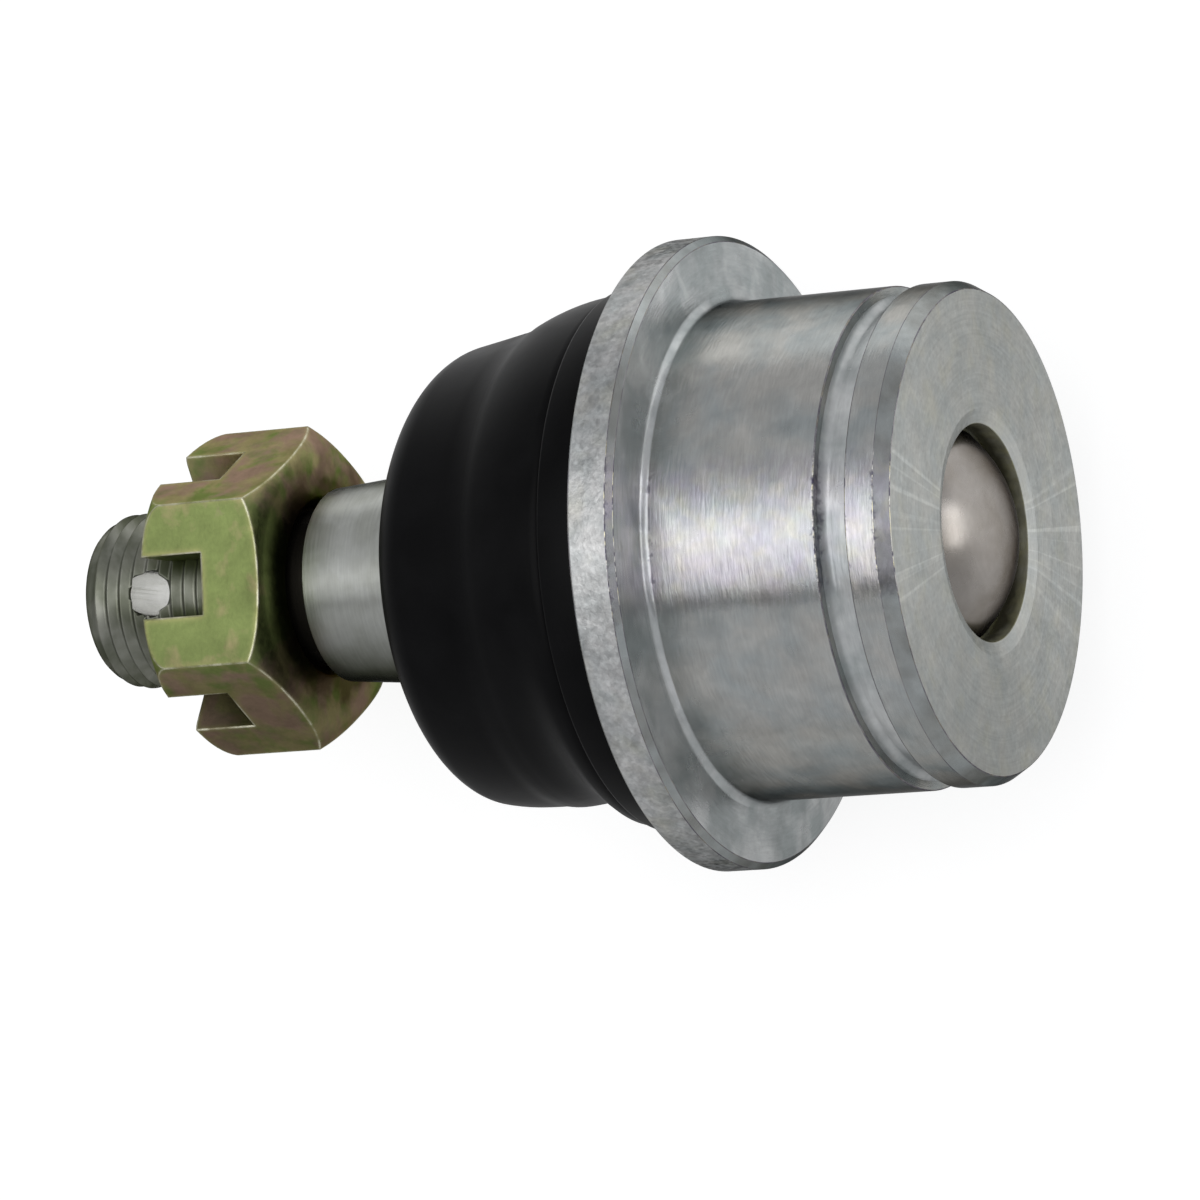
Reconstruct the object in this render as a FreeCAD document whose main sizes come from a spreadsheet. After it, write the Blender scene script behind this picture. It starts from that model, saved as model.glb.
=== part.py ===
import FreeCAD, Part
import math
import os
import types
import Sketcher

# Suspension ball joint, lying with its axis along X.
# The origin is the centre of the ball. +X points out of the end face, -X along the stud to its tip.
# Distances along the axis are written as x, and every turned outline is a list of (x, radius) corners.

# Driving sizes in millimetres, and angles in degrees
SIZES = {
    # Ball and stud
    "ball_radius": 14.3,
    "neck_radius": 8.2,
    "neck_fillet": 2.5,
    "taper_start": 34.8,
    "flare_length": 3.6,
    "taper_length": 27.5,
    "taper_small_radius": 10.4,
    "taper_rate": 0.0833,
    "taper_end_chamfer": 0.8,
    "thread_root_radius": 8.7,
    "thread_length": 27.0,
    "tip_radius": 8.2,
    "tip_chamfer_length": 1.1,
    "pin_hole_radius": 2.4,
    "pin_hole_from_tip": 8.3,
    # Swing of the stud and the room it needs
    "swing_angle": 21.5,
    "swing_clearance": 0.4,
    # Housing outside
    "face_to_centre": 12.2,
    "journal_length": 26.9,
    "journal_radius": 26.0,
    "nose_land_radius": 25.9,
    "nose_chamfer_length": 1.5,
    "nose_chamfer_depth": 0.9,
    "ring_groove_start": 4.6,
    "ring_groove_width": 3.3,
    "ring_groove_depth": 2.0,
    "shoulder_fillet": 1.3,
    "flange_radius": 33.0,
    "flange_thickness": 4.9,
    "flange_chamfer": 0.5,
    "collar_length": 5.6,
    "collar_wall": 3.4,
    "collar_chamfer": 0.6,
    # Housing inside
    "end_wall": 2.8,
    "opening_radius": 11.2,
    "opening_chamfer_depth": 1.5,
    "opening_chamfer_length": 0.45,
    "lip_thickness": 1.1,
    "lip_slope_length": 0.9,
    "lip_overlap": 2.2,
    # Bearings, spring washer and closing ring
    "running_clearance": 0.05,
    "seat_clearance": 0.05,
    "bearing_wall": 3.7,
    "bearing_chamfer": 0.5,
    "lower_bearing_length": 7.6,
    "upper_bearing_offset": 1.3,
    "upper_bearing_length": 7.5,
    "upper_seat_end": 6.6,
    "washer_thickness": 1.1,
    "washer_dish": 0.6,
    "washer_margin": 0.6,
    "washer_edge_gap": 0.4,
    "closing_ring_thickness": 2.4,
    "closing_ring_step": 2.5,
    "closing_ring_margin": 0.4,
    # Dust boot and its rings
    "boot_clearance": 0.2,
    "boot_flange_gap": 0.3,
    "base_ring_wall": 1.5,
    "base_ring_length": 4.9,
    "bead_wall": 3.0,
    "bead_height": 6.6,
    "crease_height": 0.5,
    "crease_depth": 0.7,
    "boot_wall": 2.6,
    "skirt_rise": 8.0,
    "skirt_radius": 26.2,
    "skirt_bend": 26.0,
    "waist_rise": 4.1,
    "waist_radius": 24.95,
    "waist_bend": 12.0,
    "shoulder_rise": 5.5,
    "shoulder_radius": 24.0,
    "shoulder_bend": 4.6,
    "crown_rise": 4.3,
    "crown_radius": 19.9,
    "lip_foot_rise": 0.7,
    "lip_foot_radius": 14.4,
    "lip_length": 2.4,
    "lip_wall": 1.1,
    "sleeve_length": 2.2,
    "sleeve_wall": 0.9,
    "neck_ring_wall": 1.5,
    "neck_ring_length": 1.8,
    # Slotted nut
    "nut_gap": 2.4,
    "nut_height": 14.5,
    "nut_across_flats": 30.2,
    "thread_clearance": 0.05,
    "bore_chamfer": 0.9,
    "seat_circle_radius": 14.2,
    "seat_chamfer_angle": 30.0,
    "crown_face_radius": 14.5,
    "crown_drop": 2.9,
    "crown_bend": 5.5,
    "slot_width": 6.6,
    "slot_depth": 7.4,
}

SLOT_COUNT = 6
HEX_SIDES = 6
# How near an edge must lie to the place where it is looked for
NEAR = 0.01


class Size:
    """A number together with the text that binds it to the sheet of sizes."""

    def __init__(self, number, text):
        self.number = number
        self.text = text

    def __add__(self, other):
        other = as_size(other)
        return Size(self.number + other.number, "(%s + %s)" % (self.text, other.text))

    def __sub__(self, other):
        other = as_size(other)
        return Size(self.number - other.number, "(%s - %s)" % (self.text, other.text))

    def __mul__(self, other):
        other = as_size(other)
        return Size(self.number * other.number, "(%s * %s)" % (self.text, other.text))

    def __truediv__(self, other):
        other = as_size(other)
        return Size(self.number / other.number, "(%s / %s)" % (self.text, other.text))

    def __neg__(self):
        return Size(-self.number, "(0 - %s)" % self.text)


def as_size(value):
    if isinstance(value, Size):
        return value
    return Size(float(value), "%.6f" % value)


def tangent(angle):
    return Size(math.tan(math.radians(angle.number)), "tan(%s)" % angle.text)


def cosine(angle):
    return Size(math.cos(math.radians(angle.number)), "cos(%s)" % angle.text)


def other_leg(hypotenuse, leg):
    """The third side of a right triangle: the radius of a sphere's surface, or its distance along the axis."""
    square = hypotenuse * hypotenuse - leg * leg
    return Size(math.sqrt(square.number), "sqrt(%s)" % square.text)


def fill_sheet(doc):
    sheet = doc.addObject("Spreadsheet::Sheet", "Sizes")
    for row, (name, value) in enumerate(SIZES.items(), 1):
        sheet.set("A%d" % row, name)
        sheet.set("B%d" % row, str(value))
        sheet.setAlias("B%d" % row, name)
    doc.recompute()
    return types.SimpleNamespace(**{name: Size(value, "Sizes." + name) for name, value in SIZES.items()})


doc = FreeCAD.newDocument("BallJoint")
size = fill_sheet(doc)

# Places along the axis, from the end face towards the tip
end_face = size.face_to_centre
socket_floor = end_face - size.end_wall
flange_front = end_face - size.journal_length
flange_back = flange_front - size.flange_thickness
collar_end = flange_back - size.collar_length
upper_bearing_near = -size.upper_bearing_offset
upper_bearing_far = upper_bearing_near - size.upper_bearing_length
closing_ring_near = upper_bearing_far - size.washer_thickness - size.washer_dish
closing_ring_far = closing_ring_near - size.closing_ring_thickness
taper_large_end = -size.taper_start
taper_small_end = taper_large_end - size.taper_length
thread_start = taper_small_end - size.taper_end_chamfer
tip = thread_start - size.thread_length
nut_seat = taper_small_end - size.nut_gap
nut_crown = nut_seat - size.nut_height

# Radii that several pieces share
seat_radius = size.ball_radius + size.running_clearance
bearing_radius = size.ball_radius + size.bearing_wall
bearing_bore = bearing_radius + size.seat_clearance
closing_ring_radius = bearing_radius + size.closing_ring_step
mouth_radius = closing_ring_radius + size.seat_clearance
collar_radius = mouth_radius + size.collar_wall
base_ring_inside = collar_radius + size.seat_clearance
base_ring_outside = base_ring_inside + size.base_ring_wall
taper_large_radius = size.taper_small_radius + size.taper_length * size.taper_rate


def swing_room(x):
    """The radius that clears the neck at x when the stud leans to its limit."""
    lean = -x * tangent(size.swing_angle)
    return lean + size.neck_radius / cosine(size.swing_angle) + size.swing_clearance


def taper_radius(x):
    """The radius of the stud's taper at x."""
    return size.taper_small_radius + (x - taper_small_end) * size.taper_rate


def make_body(name):
    body = doc.addObject("PartDesign::Body", name)
    body.Label = name
    return body


def origin_feature(body, role):
    return next(item for item in body.Origin.OriginFeatures if item.Role == role)


def new_sketch(body, name, plane, offset=None):
    sketch = body.newObject("Sketcher::SketchObject", name)
    sketch.AttachmentSupport = (origin_feature(body, plane), [""])
    sketch.MapMode = "FlatFace"
    if offset is not None:
        sketch.setExpression("AttachmentOffset.Base.z", offset.text)
    return sketch


def bind_constraint(sketch, name, constraint, value):
    index = sketch.addConstraint(constraint)
    sketch.renameConstraint(index, name)
    sketch.setExpression("Constraints." + name, value.text)


def hold_point(sketch, run, end, name, place):
    """Holds one end of a run at its (x, y) place, whose values may have either sign."""
    for kind, axis, value in (("DistanceX", -2, place[0]), ("DistanceY", -1, place[1])):
        value = as_size(value)
        if value.number == 0:
            sketch.addConstraint(Sketcher.Constraint("PointOnObject", run, end, axis))
        elif value.number > 0:
            rule = Sketcher.Constraint(kind, -1, 1, run, end, value.number)
            bind_constraint(sketch, kind + name, rule, value)
        else:
            rule = Sketcher.Constraint(kind, run, end, -1, 1, -value.number)
            bind_constraint(sketch, kind + name, rule, -value)


def bent_run(start, end, bend):
    """An arc from start to end. A positive bend has its centre to the left of the way along it."""
    chord = end - start
    left = FreeCAD.Vector(-chord.y, chord.x, 0).normalize()
    side = 1 if bend > 0 else -1
    rise = math.sqrt(bend * bend - chord.Length ** 2 / 4)
    centre = (start + end) * 0.5 + left * (side * rise)
    first, last = (start, end) if bend > 0 else (end, start)
    angles = [math.atan2(point.y - centre.y, point.x - centre.x) for point in (first, last)]
    circle = Part.Circle(centre, FreeCAD.Vector(0, 0, 1), abs(bend))
    return Part.ArcOfCircle(circle, angles[0], angles[1])


def draw_outline(sketch, corners):
    """A closed outline. Each corner is (x, y), or (x, y, bend) where the run that leaves it is an arc."""
    places = [(as_size(corner[0]), as_size(corner[1])) for corner in corners]
    points = [FreeCAD.Vector(x.number, y.number, 0) for x, y in places]
    ends = []
    for index, corner in enumerate(corners):
        start = points[index]
        end = points[(index + 1) % len(points)]
        if len(corner) == 2:
            sketch.addGeometry(Part.LineSegment(start, end), False)
            ends.append((1, 2))
        else:
            sketch.addGeometry(bent_run(start, end, corner[2].number), False)
            ends.append((1, 2) if corner[2].number > 0 else (2, 1))
    for index, corner in enumerate(corners):
        following = (index + 1) % len(corners)
        joined = Sketcher.Constraint("Coincident", index, ends[index][1], following, ends[following][0])
        sketch.addConstraint(joined)
    for index, corner in enumerate(corners):
        hold_point(sketch, index, ends[index][0], str(index), places[index])
        if len(corner) == 3:
            bend = corner[2] if corner[2].number > 0 else -corner[2]
            bind_constraint(sketch, "Bend%d" % index, Sketcher.Constraint("Radius", index, bend.number), bend)


def turn(body, kind, name, corners):
    """Turns an outline about the X axis, as a Revolution that adds or a Groove that cuts."""
    sketch = new_sketch(body, name + "Outline", "XY_Plane")
    draw_outline(sketch, corners)
    feature = body.newObject("PartDesign::" + kind, name)
    feature.Profile = sketch
    feature.ReferenceAxis = (sketch, ["H_Axis"])
    feature.Angle = 360
    finish_feature(body, feature, kind == "Groove")
    return feature


def finish_feature(body, feature, cuts):
    """Makes the feature the body's tip and sees that it changed the solid the way it should."""
    before = 0 if body.Shape.isNull() else body.Shape.Volume
    body.Tip = feature
    doc.recompute()
    after = body.Shape.Volume
    if cuts == (after >= before):
        raise RuntimeError("%s in %s left the solid as it was" % (feature.Name, body.Label))


def ring_edges(shape, rings):
    """The names of the circular edges about the X axis at the given (x, radius) places."""
    names = []
    for number, edge in enumerate(shape.Edges, 1):
        if edge.Degenerated or not isinstance(edge.Curve, Part.Circle):
            continue
        for x, radius in rings:
            off_x = abs(edge.Curve.Center.x - as_size(x).number)
            off_radius = abs(edge.Curve.Radius - as_size(radius).number)
            if off_x < NEAR and off_radius < NEAR:
                names.append("Edge%d" % number)
    if len(names) < len(rings):
        raise RuntimeError("an edge to dress is missing")
    return names


def dress(body, kind, name, rings, value):
    """A Fillet or a Chamfer of one size on the rings of a turned body."""
    base = body.Tip
    feature = body.newObject("PartDesign::" + kind, name)
    feature.Base = (base, ring_edges(base.Shape, rings))
    feature.setExpression("Radius" if kind == "Fillet" else "Size", value.text)
    body.Tip = feature
    doc.recompute()
    return feature


def make_housing():
    """Press-in cup: journal with a ring groove, flange, boot collar, and the stepped socket inside."""
    body = make_body("housing")
    turn(body, "Revolution", "Blank", [
        (end_face, 0),
        (end_face, size.nose_land_radius - size.nose_chamfer_depth),
        (end_face - size.nose_chamfer_length, size.nose_land_radius),
        (end_face - size.ring_groove_start, size.nose_land_radius),
        (end_face - size.ring_groove_start, size.journal_radius),
        (flange_front, size.journal_radius),
        (flange_front, size.flange_radius),
        (flange_back, size.flange_radius),
        (flange_back, collar_radius),
        (collar_end, collar_radius),
        (collar_end, 0),
    ])
    groove_end = end_face - size.ring_groove_start - size.ring_groove_width
    groove_floor = size.journal_radius - size.ring_groove_depth
    turn(body, "Groove", "RingGroove", [
        (end_face - size.ring_groove_start, groove_floor),
        (end_face - size.ring_groove_start, size.flange_radius),
        (groove_end, size.flange_radius),
        (groove_end, groove_floor),
    ])
    lip_radius = closing_ring_radius - size.lip_overlap
    lip_end = closing_ring_far - size.lip_thickness
    turn(body, "Groove", "Socket", [
        (end_face, 0),
        (end_face, size.opening_radius + size.opening_chamfer_depth),
        (end_face - size.opening_chamfer_length, size.opening_radius),
        (socket_floor, size.opening_radius),
        (socket_floor, bearing_bore),
        (closing_ring_near, bearing_bore),
        (closing_ring_near, mouth_radius),
        (closing_ring_far, mouth_radius),
        (closing_ring_far, lip_radius),
        (lip_end, lip_radius),
        (lip_end - size.lip_slope_length, mouth_radius),
        (collar_end, mouth_radius),
        (collar_end, 0),
    ])
    dress(body, "Fillet", "ShoulderFillet", [(flange_front, size.journal_radius)], size.shoulder_fillet)
    flange_rims = [(flange_front, size.flange_radius), (flange_back, size.flange_radius)]
    dress(body, "Chamfer", "FlangeChamfer", flange_rims, size.flange_chamfer)
    collar_rims = [(collar_end, collar_radius), (collar_end, mouth_radius)]
    dress(body, "Chamfer", "CollarChamfer", collar_rims, size.collar_chamfer)
    return body


def make_lower_bearing():
    """Hardened seat at the end-face side, bored to the ball."""
    body = make_body("lower_bearing")
    far = socket_floor - size.lower_bearing_length
    turn(body, "Revolution", "Seat", [
        (socket_floor, other_leg(seat_radius, socket_floor), seat_radius),
        (far, other_leg(seat_radius, far)),
        (far, bearing_radius),
        (socket_floor, bearing_radius),
    ])
    rims = [(socket_floor, bearing_radius), (far, bearing_radius)]
    dress(body, "Chamfer", "RimChamfer", rims, size.bearing_chamfer)
    return body


def make_upper_bearing():
    """Seat at the stud side: a spherical zone that opens into a cone for the leaning neck."""
    body = make_body("upper_bearing")
    seat_end = -size.upper_seat_end
    turn(body, "Revolution", "Seat", [
        (upper_bearing_near, other_leg(seat_radius, upper_bearing_near), seat_radius),
        (seat_end, other_leg(seat_radius, seat_end)),
        (upper_bearing_far, swing_room(upper_bearing_far)),
        (upper_bearing_far, bearing_radius),
        (upper_bearing_near, bearing_radius),
    ])
    rims = [(upper_bearing_near, bearing_radius), (upper_bearing_far, bearing_radius)]
    dress(body, "Chamfer", "RimChamfer", rims, size.bearing_chamfer)
    return body


def make_preload_washer():
    """Dished spring washer that presses the upper bearing onto the ball."""
    body = make_body("preload_washer")
    inside = swing_room(closing_ring_near) + size.washer_margin
    outside = bearing_radius - size.washer_edge_gap
    turn(body, "Revolution", "Disc", [
        (upper_bearing_far, inside),
        (upper_bearing_far - size.washer_dish, outside),
        (closing_ring_near, outside),
        (upper_bearing_far - size.washer_thickness, inside),
    ])
    return body


def make_closing_ring():
    """Flat ring held under the rolled lip of the housing."""
    body = make_body("closing_ring")
    turn(body, "Revolution", "Ring", [
        (closing_ring_near, swing_room(closing_ring_near) + size.closing_ring_margin),
        (closing_ring_far, swing_room(closing_ring_far) + size.closing_ring_margin),
        (closing_ring_far, closing_ring_radius),
        (closing_ring_near, closing_ring_radius),
    ])
    return body


def make_ball_stud():
    """Ball, neck, taper and threaded end in one forging. The thread is left at its root radius."""
    body = make_body("ball_stud")
    neck_start = -other_leg(size.ball_radius, size.neck_radius)
    flare_start = taper_large_end + size.flare_length
    turn(body, "Revolution", "Stud", [
        (size.ball_radius, 0, size.ball_radius),
        (neck_start, size.neck_radius),
        (flare_start, size.neck_radius),
        (taper_large_end, taper_large_radius),
        (taper_small_end, size.taper_small_radius),
        (thread_start, size.thread_root_radius),
        (tip + size.tip_chamfer_length, size.thread_root_radius),
        (tip, size.tip_radius),
        (tip, 0),
    ])
    neck_corners = [(neck_start, size.neck_radius), (flare_start, size.neck_radius)]
    dress(body, "Fillet", "NeckFillet", neck_corners, size.neck_fillet)
    circle = new_sketch(body, "PinHoleCircle", "XY_Plane", size.taper_small_radius)
    place = (tip + size.pin_hole_from_tip, 0)
    centre = FreeCAD.Vector(place[0].number, 0, 0)
    circle.addGeometry(Part.Circle(centre, FreeCAD.Vector(0, 0, 1), size.pin_hole_radius.number), False)
    radius_rule = Sketcher.Constraint("Radius", 0, size.pin_hole_radius.number)
    bind_constraint(circle, "HoleRadius", radius_rule, size.pin_hole_radius)
    hold_point(circle, 0, 3, "Hole", place)
    hole = body.newObject("PartDesign::Pocket", "PinHole")
    hole.Profile = circle
    hole.Type = "ThroughAll"
    finish_feature(body, hole, True)
    return body


def make_castle_nut():
    """Hexagon nut with a chamfered seat, a rounded crown and six slots in the middle of its flats."""
    body = make_body("castle_nut")
    corner_radius = size.nut_across_flats / 2 / cosine(as_size(180 / HEX_SIDES))
    hexagon = new_sketch(body, "Hexagon", "YZ_Plane", nut_crown)
    draw_outline(hexagon, [
        (corner_radius * math.cos(2 * math.pi * side / HEX_SIDES),
         corner_radius * math.sin(2 * math.pi * side / HEX_SIDES) if side % (HEX_SIDES / 2) else 0)
        for side in range(HEX_SIDES)
    ])
    blank = body.newObject("PartDesign::Pad", "HexagonPad")
    blank.Profile = hexagon
    blank.setExpression("Length", size.nut_height.text)
    finish_feature(body, blank, False)

    bore_radius = size.thread_root_radius + size.thread_clearance
    turn(body, "Groove", "Bore", [
        (nut_seat, 0),
        (nut_seat, bore_radius + size.bore_chamfer),
        (nut_seat - size.bore_chamfer, bore_radius),
        (nut_crown + size.bore_chamfer, bore_radius),
        (nut_crown, bore_radius + size.bore_chamfer),
        (nut_crown, 0),
    ])
    beyond = corner_radius + size.bore_chamfer
    seat_rise = (beyond - size.seat_circle_radius) * tangent(size.seat_chamfer_angle)
    turn(body, "Groove", "SeatChamfer", [
        (nut_seat, size.seat_circle_radius),
        (nut_seat, beyond),
        (nut_seat - seat_rise, beyond),
    ])
    turn(body, "Groove", "CrownRounding", [
        (nut_crown, size.crown_face_radius, -size.crown_bend),
        (nut_crown + size.crown_drop, beyond),
        (nut_crown, beyond),
    ])
    slot = new_sketch(body, "SlotOutline", "YZ_Plane", nut_crown)
    half_width = size.slot_width / 2
    draw_outline(slot, [(-half_width, 0), (half_width, 0), (half_width, beyond), (-half_width, beyond)])
    cut = body.newObject("PartDesign::Pocket", "Slot")
    cut.Profile = slot
    cut.Reversed = True
    cut.setExpression("Length", size.slot_depth.text)
    finish_feature(body, cut, True)
    pattern = body.newObject("PartDesign::PolarPattern", "Slots")
    pattern.Originals = [cut]
    pattern.Axis = (origin_feature(body, "X_Axis"), [""])
    pattern.Angle = 360
    pattern.Occurrences = SLOT_COUNT
    finish_feature(body, pattern, True)
    return body


# Places on the boot, from its bead towards its neck
bead_end = flange_back - size.bead_height
skirt_end = bead_end - size.skirt_rise
waist = skirt_end - size.waist_rise
shoulder = waist - size.shoulder_rise
crown = shoulder - size.crown_rise
lip_foot = crown - size.lip_foot_rise
lip_end = lip_foot - size.lip_length
face_inside = lip_foot + size.boot_wall
sleeve_end = face_inside + size.sleeve_length
sleeve_inside = taper_radius(sleeve_end) + size.boot_clearance
sleeve_outside = sleeve_inside + size.sleeve_wall
neck_ring_inside = sleeve_outside + size.boot_clearance
neck_ring_outside = neck_ring_inside + size.neck_ring_wall


def make_boot_base_ring():
    """Steel ring that holds the boot's bead on the collar."""
    body = make_body("boot_base_ring")
    far = flange_back - size.base_ring_length
    turn(body, "Revolution", "Ring", [
        (flange_back, base_ring_inside),
        (flange_back, base_ring_outside),
        (far, base_ring_outside),
        (far, base_ring_inside),
    ])
    return body


def make_dust_boot():
    """Rubber boot: thick bead over the base ring, flared skirt, round shoulder and a thin neck lip."""
    body = make_body("dust_boot")
    bead_inside = base_ring_outside + size.boot_clearance
    bead_outside = bead_inside + size.bead_wall
    bead_near = flange_back - size.boot_flange_gap
    bead_roof = flange_back - size.base_ring_length - size.boot_flange_gap
    crease_radius = bead_outside - size.crease_depth
    lip_inside = taper_radius(lip_end) + size.boot_clearance
    turn(body, "Revolution", "Boot", [
        (bead_near, bead_outside),
        (bead_end, bead_outside),
        (bead_end - size.crease_height, crease_radius, size.skirt_bend),
        (skirt_end, size.skirt_radius, -size.waist_bend),
        (waist, size.waist_radius),
        (shoulder, size.shoulder_radius, size.shoulder_bend),
        (crown, size.crown_radius),
        (lip_foot, size.lip_foot_radius),
        (lip_end, lip_inside + size.lip_wall),
        (lip_end, lip_inside),
        (sleeve_end, sleeve_inside),
        (sleeve_end, sleeve_outside),
        (face_inside, sleeve_outside),
        (face_inside, neck_ring_outside + size.boot_clearance),
        (crown + size.boot_wall, size.crown_radius - size.boot_wall / 2),
        (shoulder + size.boot_wall / 2, size.shoulder_radius - size.boot_wall),
        (waist, size.waist_radius - size.boot_wall),
        (bead_roof, crease_radius - size.boot_wall - size.crease_depth),
        (bead_roof, bead_inside),
        (bead_near, bead_inside),
    ])
    return body


def make_boot_neck_ring():
    """Ring that closes the boot's inner sleeve on the taper."""
    body = make_body("boot_neck_ring")
    near = face_inside + size.neck_ring_length + size.boot_clearance
    far = face_inside + size.boot_clearance
    turn(body, "Revolution", "Ring", [
        (near, neck_ring_inside),
        (near, neck_ring_outside),
        (far, neck_ring_outside),
        (far, neck_ring_inside),
    ])
    return body


MAKERS = [
    make_housing,
    make_lower_bearing,
    make_upper_bearing,
    make_preload_washer,
    make_closing_ring,
    make_ball_stud,
    make_castle_nut,
    make_boot_base_ring,
    make_dust_boot,
    make_boot_neck_ring,
]

bodies = [make() for make in MAKERS]
doc.recompute()

for item in doc.Objects:
    if "Invalid" in item.State or "Error" in item.State:
        raise RuntimeError("%s failed: %s" % (item.Name, item.State))

os.makedirs("parts", exist_ok=True)
for body in bodies:
    shape = body.Shape
    if shape.isNull() or not shape.isValid() or len(shape.Solids) != 1:
        raise RuntimeError("%s isn't one valid solid" % body.Label)
    shape.exportStep("parts/%s.step" % body.Label)
    box = shape.BoundBox
    print("%-16s %10.1f mm3  x %.2f to %.2f  r %.2f" % (body.Label, shape.Volume, box.XMin, box.XMax, box.ZMax))
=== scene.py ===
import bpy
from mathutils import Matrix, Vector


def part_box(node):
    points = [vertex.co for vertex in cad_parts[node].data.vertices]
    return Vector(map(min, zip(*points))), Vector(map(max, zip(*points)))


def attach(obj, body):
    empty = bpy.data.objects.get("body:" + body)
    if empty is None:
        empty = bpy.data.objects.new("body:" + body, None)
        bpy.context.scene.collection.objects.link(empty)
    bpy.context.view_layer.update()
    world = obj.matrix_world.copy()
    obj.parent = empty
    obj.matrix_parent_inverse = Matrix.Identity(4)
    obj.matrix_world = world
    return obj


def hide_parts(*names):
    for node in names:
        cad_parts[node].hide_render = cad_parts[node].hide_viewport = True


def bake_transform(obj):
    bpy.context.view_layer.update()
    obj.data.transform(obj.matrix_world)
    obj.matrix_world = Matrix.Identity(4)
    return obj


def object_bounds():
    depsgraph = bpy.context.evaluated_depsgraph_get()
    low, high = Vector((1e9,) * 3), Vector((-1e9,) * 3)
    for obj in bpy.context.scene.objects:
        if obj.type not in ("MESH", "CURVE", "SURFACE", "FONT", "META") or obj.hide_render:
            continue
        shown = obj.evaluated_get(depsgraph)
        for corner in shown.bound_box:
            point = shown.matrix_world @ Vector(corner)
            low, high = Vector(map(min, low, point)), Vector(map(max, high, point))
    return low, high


bl_info = {
    "name": "Suspension ball joint",
    "version": (1, 0, 0),
    "blender": (4, 5, 0),
    "location": "3D View > Sidebar > Ball joint",
    "description": "Builds the visible pieces, finishes and studio of a press-in suspension ball joint",
    "category": "Object",
}

import math

import bmesh
import bpy
from bpy.props import FloatProperty, FloatVectorProperty, IntProperty, PointerProperty
from mathutils import Matrix, Quaternion, Vector

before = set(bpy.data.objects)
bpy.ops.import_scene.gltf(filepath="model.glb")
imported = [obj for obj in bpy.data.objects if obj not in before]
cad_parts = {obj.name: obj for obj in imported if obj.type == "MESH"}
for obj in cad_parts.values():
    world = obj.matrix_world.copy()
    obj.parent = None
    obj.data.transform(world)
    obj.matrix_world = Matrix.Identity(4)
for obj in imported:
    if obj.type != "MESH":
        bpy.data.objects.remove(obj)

# The joint lies along X: its end face looks along +X and its threaded tip along -X.
# Lengths are in metres. MM turns a size in millimetres into metres.
MM = 0.001

CAD_LOW, CAD_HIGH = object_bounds()
HOUSING_LOW, HOUSING_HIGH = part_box("housing")
STUD_LOW, STUD_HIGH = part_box("ball_stud")
NUT_LOW, NUT_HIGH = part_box("castle_nut")
BOOT_LOW, BOOT_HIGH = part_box("dust_boot")

# Facets round the axis, fewer round the nut, the thread and the drill, and in one eased edge
ROUND_STEPS = 288
NUT_STEPS = 216
THREAD_STEPS = 144
DRILL_STEPS = 72
EDGE_STEPS = 4


def linear(hex_colour):
    """The linear RGB of an sRGB colour written as #rrggbb."""
    channels = [int(hex_colour[place:place + 2], 16) / 255 for place in (1, 3, 5)]
    return [c / 12.92 if c <= 0.04045 else ((c + 0.055) / 1.055) ** 2.4 for c in channels]


def length(name, description, millimetres):
    """A length that a user can set, with its default in millimetres."""
    return FloatProperty(name=name, description=description, default=millimetres * MM,
                         unit="LENGTH", precision=5)


def station(name, description, metres):
    """A place along the axis, or a radius, whose default is read from the parts in model.glb."""
    return FloatProperty(name=name, description=description, default=metres, unit="LENGTH", precision=5)


def colour(name, description, hex_colour):
    return FloatVectorProperty(name=name, description=description, subtype="COLOR",
                               default=linear(hex_colour), min=0, max=1)


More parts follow.
